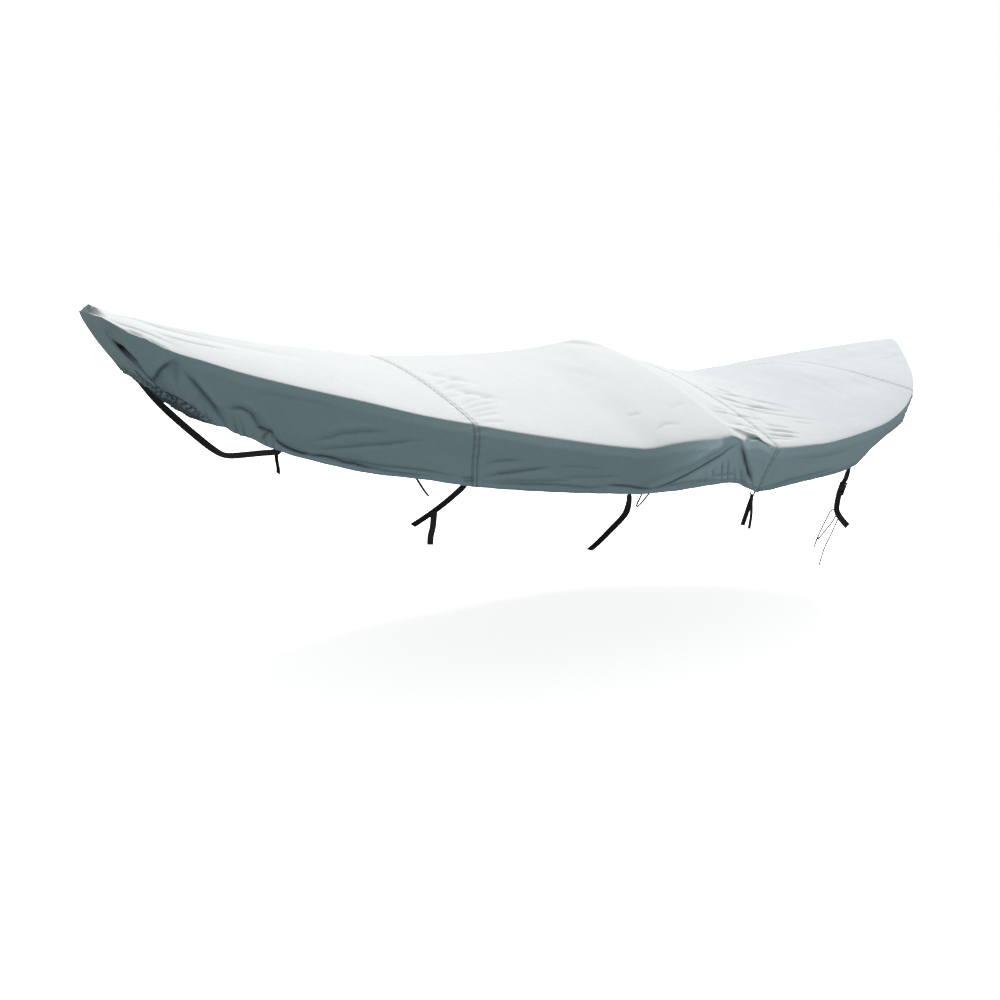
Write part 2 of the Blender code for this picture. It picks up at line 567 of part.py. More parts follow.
def cord(name, knots):
    run = smooth_run(knots, CORD_WIDE * 2.6) - HOLD_POINT
    curve = bpy.data.curves.new(name, "CURVE")
    curve.dimensions = "3D"
    curve.bevel_depth = CORD_WIDE / 2
    curve.bevel_resolution = 2
    curve.use_fill_caps = True
    spline = curve.splines.new("POLY")
    spline.points.add(len(run) - 1)
    for point, p in zip(spline.points, run):
        point.co = (*p, 1.0)
    made = bpy.data.objects.new(name, curve)
    bpy.context.scene.collection.objects.link(made)
    paint = bpy.data.materials.new(name)
    paint.use_nodes = True
    shader = paint.node_tree.nodes["Principled BSDF"]
    shader.inputs["Base Color"].default_value = (*WEBBING, 1.0)
    shader.inputs["Roughness"].default_value = 0.75
    curve.materials.append(paint)
    return made


def lay_tie(tie, mirror=False):
    """Lay one tie from its table row, or its mirror image for the far side."""
    flip = np.array((1.0, -1.0, 1.0)) if mirror else np.ones(3)
    path = smooth_run(np.array(tie["points"]) * flip, 0.022)
    turned = [None if tie.get(key) is None else np.array(tie[key]) * flip for key in ("face", "first", "last")]
    stations = free_run(path, turned[0], tie["wide"], turned[1], turned[2])
    for key, run in (("sewn", DOWN), ("sewn_last", -DOWN)):
        if key in tie:
            end = tie[key]
            held = sewn_end(np.array(end["at"]) * flip[:2], np.array(end["out"]) * flip, end["levels"],
                            tie["wide"], run)
            stations = held + stations if key == "sewn" else stations + held
    ribbon(tie["name"] + ("_port" if mirror else ""), stations)


def inner_tree():
    """The four panels as one surface that rays can be cast at."""
    points, faces = [], []
    for name in ("stern_panel", "aft_panel", "forward_panel", "bow_panel"):
        mesh = bpy.data.objects[name].data
        start = len(points)
        points += [v.co.copy() for v in mesh.vertices]
        faces += [[start + v for v in face.vertices] for face in mesh.polygons]
    return BVHTree.FromPolygons(points, faces)


build_cloth()
CLOTH_INSIDE = inner_tree()
for tie in TIES:
    lay_tie(tie)
    if tie["name"] in PORT_TIES:
        lay_tie(tie, mirror=True)

# the second free end of the rear tie hangs from its outer face
spot, _, flat = laid_on("rear_tie", 0.60, LAP)
hang = [(-1.3600, -0.688, 0.716), (-1.3690, -0.691, 0.692), (-1.3710, -0.691, 0.652)]
ribbon("rear_tie_tail", lapped(spot, flat, DOWN, 0.012, WEB_WIDE)
       + free_run(smooth_run(hang, 0.022), (-0.30, -0.95, 0.0), WEB_WIDE, None, None))

# the bow tie, its buckle, and the free end that leaves the buckle
BUCKLE = dict(centre=np.array((0.9640, -0.7890, 0.6825)), down=(-0.0020, 0.0200, -0.0615),
              face=(-0.45, -0.85, -0.10))
buckle("bow_buckle", BUCKLE["centre"], BUCKLE["down"], BUCKLE["face"])
away = unit(BUCKLE["down"])
facing = unit(np.array(BUCKLE["face"]) - away * (np.array(BUCKLE["face"]) @ away))
behind = BUCKLE["centre"] - facing * (BUCKLE_THICK / 2 + 1.5 * GAP + WEB_THICK / 2)
bow_wide, tail_wide = 0.026, 0.031
bow_run = [(0.9800, -0.8170, 0.786), (0.9780, -0.8080, 0.757), (0.9710, -0.8035, 0.730)]
ribbon("bow_tie", sewn_end((0.980, -0.82), STARBOARD, (0.814, 0.803), bow_wide, DOWN)
       + free_run(smooth_run(bow_run, 0.020), facing, bow_wide, STARBOARD, None)
       + lapped(behind - away * 0.018, facing, away, 0.024, bow_wide))
tail_run = [(0.9660, -0.7690, 0.628), (0.9760, -0.757, 0.588), (0.9990, -0.745, 0.557),
            (1.0430, -0.733, 0.524), (1.0880, -0.722, 0.496), (1.1330, -0.714, 0.469)]
ribbon("bow_tie_tail", lapped(behind + away * 0.020, facing, away, 0.024, tail_wide)
       + free_run(smooth_run(tail_run, 0.022), (-0.45, -0.85, -0.10), tail_wide, None, None))

for item in CORDS:
    spot, side, flat = laid_on("bow_tie_tail", item["share"], WEB_THICK / 2 + 3 * GAP)
    spot = spot + side * item["across"] * tail_wide
    cord(item["name"], [spot, spot + flat * 0.013] + item["run"])
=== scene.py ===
import bpy
import numpy as np
from mathutils import Matrix, Vector
from mathutils.bvhtree import BVHTree


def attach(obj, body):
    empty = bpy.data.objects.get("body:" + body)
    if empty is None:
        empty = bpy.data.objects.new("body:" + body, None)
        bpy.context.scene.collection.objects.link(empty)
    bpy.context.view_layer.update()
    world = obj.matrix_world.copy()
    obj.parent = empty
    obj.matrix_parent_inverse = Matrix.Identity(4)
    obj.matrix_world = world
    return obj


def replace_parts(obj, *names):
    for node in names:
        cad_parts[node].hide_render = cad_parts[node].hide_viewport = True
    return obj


# Boat cover: four cloth panels sewn rail to rail, with webbing ties below.
# Metres. +X runs to the bow, +Y to port. The origin is the point under the top that holds it up.
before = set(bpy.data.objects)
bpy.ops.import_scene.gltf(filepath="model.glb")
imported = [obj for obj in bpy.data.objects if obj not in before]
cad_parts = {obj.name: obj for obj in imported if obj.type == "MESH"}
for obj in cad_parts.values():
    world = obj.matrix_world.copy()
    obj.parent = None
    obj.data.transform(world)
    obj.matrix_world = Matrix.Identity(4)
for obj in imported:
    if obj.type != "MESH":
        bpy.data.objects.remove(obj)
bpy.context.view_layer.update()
holdPoint = np.array((-0.05, 0.0, 1.3335))      # that point, above the ground

# camera: as the photograph was taken, from the starboard side of the stern
cameraSetup = {"place": (-3.42095, -3.76809, 0.24537), "lens": 36.88, "sensor": 36.0,
               "shift": (0.05138, -0.22290), "turn": 34.8123, "lookUp": 0.7002, "roll": -2.0267}


def makeCamera(setup):
    turn, up, roll = np.radians([setup["turn"], setup["lookUp"], setup["roll"]])
    ahead = np.array((np.sin(turn) * np.cos(up), np.cos(turn) * np.cos(up), np.sin(up)))
    right = np.array((np.cos(turn), -np.sin(turn), 0.0))
    low = np.cross(ahead, right)
    across = np.cos(roll) * right + np.sin(roll) * low
    low = -np.sin(roll) * right + np.cos(roll) * low
    data = bpy.data.cameras.new("photoCamera")
    data.lens, data.sensor_width, data.sensor_fit = setup["lens"], setup["sensor"], "HORIZONTAL"
    data.shift_x, data.shift_y = setup["shift"]
    data.clip_end = 200.0
    made = bpy.data.objects.new("photoCamera", data)
    bpy.context.scene.collection.objects.link(made)
    rows = [[across[k], -low[k], -ahead[k], setup["place"][k]] for k in range(3)]
    made.matrix_world = Matrix(rows + [[0, 0, 0, 1]])
    bpy.context.scene.camera = made


makeCamera(cameraSetup)


def unit(v):
    return np.array(v, float) / np.linalg.norm(v)


def held(v):
    # no less than 0 and no more than 1
    return np.clip(v, 0, 1)


def eased(t):
    return t * t * (3 - 2 * t)


def distances(path):
    # how far along the path each of its points lies
    return np.r_[0, np.cumsum(np.linalg.norm(np.diff(path, axis=0), axis=1))]


def resampled(path, far, marks):
    return np.stack([np.interp(marks, far, path[:, c]) for c in range(3)], 1)


def curveThrough(values, parts):
    # smooth values between the stations, through each of them
    v = np.asarray(values, float)
    ends = np.vstack([2 * v[0] - v[1], v, 2 * v[-1] - v[-2]])
    found = []
    for i in range(1, len(ends) - 2):
        p0, p1, p2, p3 = ends[i - 1:i + 3]
        for t in np.arange(parts) / parts:
            found.append(0.5 * (2 * p1 + (p2 - p0) * t + (2 * p0 - 5 * p1 + 4 * p2 - p3) * t * t
                                + (3 * p1 - p0 - 3 * p2 + p3) * t**3))
    return np.array(found + [v[-1]])


def smoothRun(knots, step):
    # even points on a smooth curve through the knots
    dense = curveThrough(knots, 24)
    far = distances(dense)
    return resampled(dense, far, np.linspace(0, far[-1], max(int(far[-1] / step), 2) + 1))


def tubeFaces(rings, around):
    # the sides of a run of rings and a cap at each end
    faces = []
    for k in range(0, (rings - 1) * around, around):
        for c in range(around):
            d = (c + 1) % around
            faces.append((k + c, k + d, k + around + d, k + around + c))
    last = (rings - 1) * around
    return faces + [tuple(range(around))[::-1], tuple(range(last, last + around))]


def newPiece(name, points, faces, paints, maps=None, smooth=True):
    # a mesh piece on the one body, from points above the ground; maps: {uv name: (u, v) for each point}
    mesh = bpy.data.meshes.new(name)
    mesh.from_pydata((np.asarray(points, float) - holdPoint).tolist(), [], [list(map(int, f)) for f in faces])
    corners = np.empty(len(mesh.loops), int)
    mesh.loops.foreach_get("vertex_index", corners)
    for title, values in (maps or {}).items():
        layer = mesh.uv_layers.new(name=title)
        layer.data.foreach_set("uv", np.asarray(values, np.float32)[corners].ravel())
    mesh.polygons.foreach_set("use_smooth", [smooth] * len(mesh.polygons))
    mesh.update()
    for paint in paints:
        mesh.materials.append(paint)
    made = bpy.data.objects.new(name, mesh)
    bpy.context.scene.collection.objects.link(made)
    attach(made, "root")
    return made


def feed(tree, socket, value):
    if isinstance(value, bpy.types.NodeSocket):
        tree.links.new(value, socket)
    else:
        socket.default_value = value


def node(tree, kind, inputs=None, **settings):
    made = tree.nodes.new(kind)
    for key, value in settings.items():
        setattr(made, key, value)
    for key, value in (inputs or {}).items():
        feed(tree, made.inputs[key], value)
    return made


def maths(tree, what, a, b=0.0, c=0.0, clamp=False):
    return node(tree, "ShaderNodeMath", {0: a, 1: b, 2: c}, operation=what, use_clamp=clamp).outputs[0]


def times(tree, a, b):
    return maths(tree, "MULTIPLY", a, b)


def timesPlus(tree, a, b, c, clamp=False):
    return maths(tree, "MULTIPLY_ADD", a, b, c, clamp)


def apart(tree, vector):
    return node(tree, "ShaderNodeSeparateXYZ", {0: vector}).outputs


def uvMap(tree, name):
    return node(tree, "ShaderNodeUVMap", uv_map=name).outputs[0]


def noise(tree, vector, scale, detail, rough=0.5):
    return node(tree, "ShaderNodeTexNoise", {"Vector": vector, "Scale": scale, "Detail": detail,
                                             "Roughness": rough}).outputs[0]


def spread(tree, value, low, high):
    # 0 below low, 1 above high, smooth between
    return node(tree, "ShaderNodeMapRange", {"Value": value, "From Min": low, "From Max": high},
                interpolation_type="SMOOTHSTEP").outputs[0]


def blendColour(tree, share, a, b):
    made = node(tree, "ShaderNodeMix", data_type="RGBA")
    for key, value in ((0, share), (6, a), (7, b)):
        feed(tree, made.inputs[key], (*value, 1.0) if isinstance(value, tuple) else value)
    return made.outputs[2]


def newGroup(title, takes, gives):
    group = bpy.data.node_groups.new(title, "ShaderNodeTree")
    for name, kind, value in takes:
        socket = group.interface.new_socket(name=name, in_out="INPUT", socket_type="NodeSocket" + kind)
        if value is not None:
            socket.default_value = value
    for name in gives:
        group.interface.new_socket(name=name, in_out="OUTPUT", socket_type="NodeSocketFloat")
    return group, group.nodes.new("NodeGroupInput").outputs, group.nodes.new("NodeGroupOutput").inputs


def place(tree, group, **inputs):
    return node(tree, "ShaderNodeGroup", inputs, node_tree=group).outputs


def plainWeaveGroup():
    # over-and-under threads: sizes from the map in metres
    group, takes, gives = newGroup("plainWeave", [("Vector", "Vector", None), ("Threads", "Float", 900.0)],
                                   ["Height", "Gaps"])
    turns = times(group, takes["Threads"], np.pi)
    u, v = (times(group, way, turns) for way in apart(group, takes["Vector"])[:2])
    warp, weft = (maths(group, "ABSOLUTE", maths(group, "SINE", way)) for way in (u, v))
    over = times(group, maths(group, "COSINE", u), maths(group, "COSINE", v))
    over = timesPlus(group, over, 0.5, 0.5, clamp=True)
    under = maths(group, "SUBTRACT", 1.0, over)
    group.links.new(maths(group, "ADD", times(group, warp, over), times(group, weft, under)), gives["Height"])
    group.links.new(maths(group, "SUBTRACT", 1.0, maths(group, "MAXIMUM", warp, weft)), gives["Gaps"])
    return group


def weatherGroup():
    # broad fading, fine grain and settled dust, from the object's own coordinates
    group, takes, gives = newGroup(
        "weather", [("Vector", "Vector", None), ("Broad", "Float", 1.6), ("Grain", "Float", 70.0)],
        ["Fade", "Dust", "Grain"])
    spot = takes["Vector"]
    group.links.new(noise(group, spot, takes["Broad"], 3.0), gives["Fade"])
    group.links.new(spread(group, noise(group, spot, 9.0, 5.0, 0.65), 0.42, 0.72), gives["Dust"])
    group.links.new(noise(group, spot, takes["Grain"], 4.0), gives["Grain"])
    return group


def ribGroup():
    # the ribs of woven webbing: rows along its length and a chevron across them
    group, takes, gives = newGroup(
        "webbingRibs", [("Vector", "Vector", None), ("Rows", "Float", 620.0), ("Slant", "Float", 1.0)],
        ["Height", "Edge"])
    across, along = apart(group, takes["Vector"])[:2]
    side = maths(group, "ABSOLUTE", across)
    lean = maths(group, "ADD", along, times(group, side, takes["Slant"]))
    rows = maths(group, "SINE", times(group, lean, times(group, takes["Rows"], 2 * np.pi)))
    threads = maths(group, "SINE", times(group, across, 3900.0))
    group.links.new(timesPlus(group, rows, 0.5, times(group, threads, 0.25)), gives["Height"])
    group.links.new(spread(group, side, 0.0095, 0.0130), gives["Edge"])
    return group


plainWeave, weather, webbingRibs = plainWeaveGroup(), weatherGroup(), ribGroup()


def newPaint(name, grain, broad=1.6):
    # a material, its tree, and the wear that every finish starts from
    paint = bpy.data.materials.new(name)
    paint.use_nodes = True
    tree = paint.node_tree
    own = node(tree, "ShaderNodeTexCoord").outputs["Object"]
    return paint, tree, place(tree, weather, Vector=own, Grain=grain, Broad=broad)


def finishPaint(paint, colour, rough, bump, relief):
    # bump: its strength, and its depth in metres
    tree = paint.node_tree
    shader = tree.nodes["Principled BSDF"].inputs
    feed(tree, shader["Base Color"], colour)
    feed(tree, shader["Roughness"], rough)
    made = node(tree, "ShaderNodeBump", {"Strength": bump[0], "Distance": bump[1], "Height": relief})
    feed(tree, shader["Normal"], made.outputs[0])
    return paint


print("camera and shared effects ready")

# the three thin cords that leave the bow tie
cordLook = {"wide": 0.0060, "plaits": 6, "relief": 0.00028, "around": 18, "step": 0.0016, "lay": 1.7,
            "rise": 0.013, "dark": (0.006, 0.006, 0.007), "worn": (0.026, 0.027, 0.030), "rough": 0.78,
            "grain": 260.0, "threads": 1100.0, "bump": (0.5, 0.0003)}
# share and across: where each leaves the tie's free end; length: as seen from end to end
cordRuns = [
    {"name": "bowCordShort", "node": "bow_cord_1", "share": 0.34, "across": -0.35, "length": 0.250, "run": [
        (0.926, -0.760, 0.572), (0.895, -0.748, 0.517), (0.842, -0.748, 0.448), (0.819, -0.748, 0.407)]},
    {"name": "bowCordInner", "node": "bow_cord_2", "share": 0.42, "across": -0.25, "length": 0.185, "run": [
        (0.956, -0.750, 0.517), (0.929, -0.733, 0.475), (0.874, -0.728, 0.433)]},
    {"name": "bowCordLong", "node": "bow_cord_3", "share": 0.50, "across": -0.02, "length": 0.286, "run": [
        (0.986, -0.742, 0.488), (0.978, -0.722, 0.432), (0.958, -0.706, 0.372), (0.926, -0.703, 0.295)]},
]
# ties of flat webbing are stations: left edge, right edge and the way the flat side faces
webbing = {"thick": 0.0018, "gap": 0.0003, "round": 5, "parts": 5, "knotStep": 0.022, "turnShare": 0.22}
laidTies = {}


def freeRun(path, face, wide, first, last):
    # a free run can start and end turned another way than face
    found, count = [], len(path)
    ends = [np.array(face if way is None else way, float) for way in (first, last)]
    for k, p in enumerate(path):
        run = unit(path[min(k + 1, count - 1)] - path[max(k - 1, 0)])
        start = max(1 - k / (webbing["turnShare"] * count), 0.0) if first is not None else 0.0
        end = max(1 - (count - 1 - k) / (webbing["turnShare"] * count), 0.0) if last is not None else 0.0
        turned = np.array(face, float) * (1 - start - end) + ends[0] * start + ends[1] * end
        side = unit(np.cross(turned, run))
        found.append((p - side * wide / 2, p + side * wide / 2, np.cross(run, side)))
    return found


def lapped(centre, flat, run, reach, wide):
    # two stations that lie flat on another piece
    flat = unit(flat)
    run = unit(run - flat * (run @ flat))
    side = np.cross(flat, run) * wide / 2
    return [(centre + run * s * reach / 2 - side, centre + run * s * reach / 2 + side, flat) for s in (-1, 1)]


def midway(name, share):
    # the middle, the flat side's way and the way across at a share of a laid tie
    stations = laidTies[name]
    left, right, flat = stations[int(round(share * (len(stations) - 1)))]
    return (left + right) / 2, unit(flat), unit(right - left)


buckleShape = {"centre": np.array((0.964, -0.789, 0.6825)), "down": (-0.002, 0.020, -0.0615),
               "face": np.array((-0.45, -0.85, -0.10)), "long": (-0.034, -0.028, -0.018, 0.008, 0.018, 0.034),
               "wide": (-0.018, -0.012, 0.012, 0.018), "slots": ((1, 1), (3, 1)), "thick": 0.006,
               "bevel": 0.0009, "tieWide": 0.026, "tailWide": 0.031, "tieLap": 0.024, "tieAt": -0.018,
               "tailAt": 0.020}
down = np.array((0.0, 0.0, -1.0))
away = unit(buckleShape["down"])
facing = unit(buckleShape["face"] - away * (buckleShape["face"] @ away))
clear = (buckleShape["thick"] + webbing["thick"]) / 2 + 1.5 * webbing["gap"]
behind = buckleShape["centre"] - facing * clear
tailKnots = [(0.966, -0.769, 0.628), (0.976, -0.757, 0.588), (0.999, -0.745, 0.557),
             (1.043, -0.733, 0.524), (1.088, -0.722, 0.496), (1.133, -0.714, 0.469)]
laidTies["bowTieTail"] = lapped(behind + away * buckleShape["tailAt"], facing, away, buckleShape["tieLap"],
                                buckleShape["tailWide"])
laidTies["bowTieTail"] += freeRun(smoothRun(tailKnots, webbing["knotStep"]), buckleShape["face"],
                                  buckleShape["tailWide"], None, None)


def braidedTube(name, run, look, paint):
    # round cord with plaited relief, its ends melted to a bead
    ways = np.gradient(run, axis=0)
    ways /= np.linalg.norm(ways, axis=1, keepdims=True)
    side = unit(np.cross(ways[0], (0.3, 0.9, 0.2)))
    far, around = distances(run), look["around"]
    turn = np.arange(around) / around * 2 * np.pi
    points, sizes = [], []
    for k, (p, way) in enumerate(zip(run, ways)):
        side = unit(side - way * (side @ way))
        up = np.cross(way, side)
        lay = far[k] / (look["wide"] * look["lay"]) * 2 * np.pi
        plait = np.maximum(np.sin(turn * look["plaits"] / 2 + lay), np.sin(turn * look["plaits"] / 2 - lay))
        end = min(far[k], far[-1] - far[k]) / look["wide"]
        size = look["wide"] / 2 * (np.sqrt(max(1 - (1 - end / 0.5)**2, 0.04)) if end < 0.5 else 1.0)
        wide = (size + look["relief"] * (plait - 0.6))[:, None]
        points.append(p + np.cos(turn)[:, None] * side * wide + np.sin(turn)[:, None] * up * wide)
        sizes.append(np.stack([turn / (2 * np.pi) * look["wide"] * 3.14, np.full(around, far[k])], 1))
    faces = tubeFaces(len(run), around)
    return newPiece(name, np.vstack(points), faces, [paint], {"size": np.vstack(sizes)})


def cordMaterial(look):
    paint, tree, worn = newPaint("wornCord", look["grain"])
    weave = place(tree, plainWeave, Vector=uvMap(tree, "size"), Threads=look["threads"])
    colour = blendColour(tree, worn["Grain"], look["dark"], look["worn"])
    return finishPaint(paint, colour, look["rough"], look["bump"], weave["Height"])


cordFinish = cordMaterial(cordLook)
for item in cordRuns:
    spot, flat, across = midway("bowTieTail", item["share"])
    spot = spot + flat * (webbing["thick"] / 2 + 3 * webbing["gap"])
    spot = spot + across * item["across"] * buckleShape["tailWide"]
    run = smoothRun([spot, spot + flat * cordLook["rise"]] + item["run"], cordLook["step"])
    made = braidedTube(item["name"], run, cordLook, cordFinish)
    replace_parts(made, item["node"])
    print("cord", item["name"], round(float(distances(run)[-1]), 4))
    run = run - holdPoint

# The cloth, from stern to bow. gaps: how far apart the stations are at x. inset: how far the top stays
# inside the rail. over: the depth in which the skirt comes out to it. draw: how straight the stern's
# corners run to the hem. slant: how far the middle seam runs aft. sway: how far the hem wanders.
coverShape = {"sternEnd": -2.42, "bowEnd": 2.62, "seams": (-1.24, 0.27, 1.70), "sheet": 0.0018,
              "lap": 0.022, "lapRise": 0.0011, "hem": 0.022, "hemRise": 0.0010, "sternSkew": 0.037,
              "stitchIn": 0.0068, "hemStitches": (0.0045, 0.0175), "groove": 0.0006, "loose": 0.0022,
              "pucker": 0.0011, "puckerApart": 0.034, "hemWave": 0.0009, "draw": 0.5, "inset": 0.012,
              "over": 0.035, "slant": 0.072, "sway": (0.0035, 0.0030), "portSlack": 0.005, "sharp": 52,
              "gaps": ((-2.42, 0.0055), (-1.95, 0.0075), (-1.60, 0.0105), (-1.26, 0.0115), (-1.22, 0.0070),
                       (-1.00, 0.0078), (-0.90, 0.0125), (-0.16, 0.0125), (-0.10, 0.0056), (0.60, 0.0056),
                       (0.85, 0.0100), (1.05, 0.0120), (1.70, 0.0100), (2.62, 0.0075))}
# half: half the width at the rail. rail: height of the starboard rail, railPort: of the port one.
# ridge: height of the middle. hem: height of the hem. tuck: how far the hem lies inside the rail,
# rake: how far forward of it. These and the tables below are in millimetres.
sectionNames = ("x", "half", "rail", "railPort", "ridge", "hem", "tuck", "rake")
sectionRows = np.array([
    (-2420, 150, 1440, 1453, 1477, 1192, 0, 175),
    (-2350, 196, 1397, 1404, 1462, 1160, 4, 155),
    (-2280, 247, 1366, 1364, 1443, 1130, 10, 135),
    (-2200, 300, 1324, 1324, 1425, 1090, 14, 110),
    (-2130, 344, 1302, 1300, 1411, 1068, 16, 90),
    (-2000, 424, 1260, 1258, 1388, 1022, 20, 60),
    (-1900, 480, 1234, 1232, 1370, 986, 24, 40),
    (-1740, 566, 1196, 1196, 1345, 946, 24, 20),
    (-1600, 636, 1165, 1165, 1328, 918, 20, 8),
    (-1420, 715, 1123, 1123, 1308, 897, 14, 2),
    (-1240, 780, 1090, 1090, 1289, 869, 8, 0),
    (-1080, 828, 1061, 1061, 1287, 852, 10, 0),
    (-850, 882, 1024, 1024, 1290, 831, 20, 0),
    (-600, 923, 990, 994, 1299, 811, 30, 0),
    (-500, 932, 981, 982, 1306, 803, 34, 0),
    (-350, 940, 995, 972, 1318, 803, 34, 0),
    (-180, 946, 1003, 960, 1336, 809, 36, 0),
    (-20, 944, 1007, 952, 1343, 811, 38, 0),
    (60, 946, 984, 949, 1332, 800, 44, 0),
    (130, 952, 984, 946, 1310, 772, 56, 0),
    (200, 956, 960, 944, 1290, 752, 68, 0),
    (270, 957, 944, 942, 1270, 750, 75, 0),
    (400, 953, 939, 940, 1246, 757, 77, 0),
    (600, 944, 941, 942, 1205, 768, 79, 0),
    (800, 928, 954, 953, 1189, 776, 80, 0),
    (1000, 904, 973, 972, 1196, 797, 80, 0),
    (1200, 875, 998, 998, 1216, 872, 78, -2),
    (1400, 832, 1041, 1036, 1232, 926, 72, -6),
    (1580, 770, 1089, 1084, 1231, 950, 64, -12),
    (1700, 714, 1132, 1122, 1230, 960, 56, -18),
    (1800, 655, 1167, 1156, 1238, 968, 48, -26),
    (1900, 594, 1191, 1186, 1250, 978, 40, -36),
    (2100, 450, 1241, 1240, 1282, 1008, 32, -58),
    (2300, 290, 1291, 1290, 1316, 1046, 24, -82),
    (2460, 158, 1330, 1330, 1344, 1080, 12, -104),
    (2560, 68, 1355, 1355, 1360, 1104, 5, -120),
    (2620, 0, 1370, 1370, 1370, 1118, 0, -130),
]) / 1000
# broad folds in the starboard skirt: x and down from rail 0 to hem 1000, twice, half width, push
skirtFolds = np.array([
    # stern
    (-2412, 80, -2330, 620, 22, -16),
    (-2330, 620, -2262, 980, 20, -20),
    (-2330, 200, -2215, 750, 45, 12),
    (-2225, 200, -2290, 620, 22, -10),
    (-2165, 520, -2095, 990, 24, -12),
    (-1985, 520, -1930, 970, 24, -11),
    (-1930, 840, -1560, 930, 16, -8),
    (-1900, 970, -1500, 1000, 20, 7),
    # amidships
    (0, 100, -230, 560, 22, -12),
    (-230, 560, -560, 900, 20, -9),
    (-60, 120, -300, 520, 34, 8),
    (-1420, 550, -1000, 660, 30, -5),
    (-1150, 800, -760, 860, 26, 5),
    (480, 500, 900, 420, 30, -5),
]) / 1000
# broad folds in the top: x and y, twice, half width, push
topFolds = np.array([
    # over the point that holds it up
    (-120, -60, -10, 60, 110, 16),
    (-80, -100, -420, -420, 70, 8),
    # the saddle
    (420, -220, 520, -740, 34, -4),
    (560, -180, 660, -660, 30, -3),
    (490, -200, 590, -700, 30, 3),
    (330, -580, 400, -880, 26, -4),
    # aft
    (-1180, -300, -1010, -420, 22, -6),
    (-1160, -480, -990, -580, 22, -6),
    (-2330, -60, -1700, -240, 26, -7),
    (-2300, 20, -1620, 20, 26, -6),
    (-2385, -60, -2300, 20, 40, -8),
    # bow
    (1750, -50, 2450, -20, 60, 6),
    (1200, -450, 1620, -500, 90, -10),
    # port side
    (-80, 100, -420, 440, 70, 8),
    (420, 240, 520, 720, 34, -10),
    (-420, 500, -560, 840, 34, -8),
    (1050, 300, 1200, 700, 34, -8),
]) / 1000
wedgeShape = {"topAft": 0.020, "bottomAft": 0.112, "topFore": 0.262, "bottomFore": 0.180, "lift": 0.013}
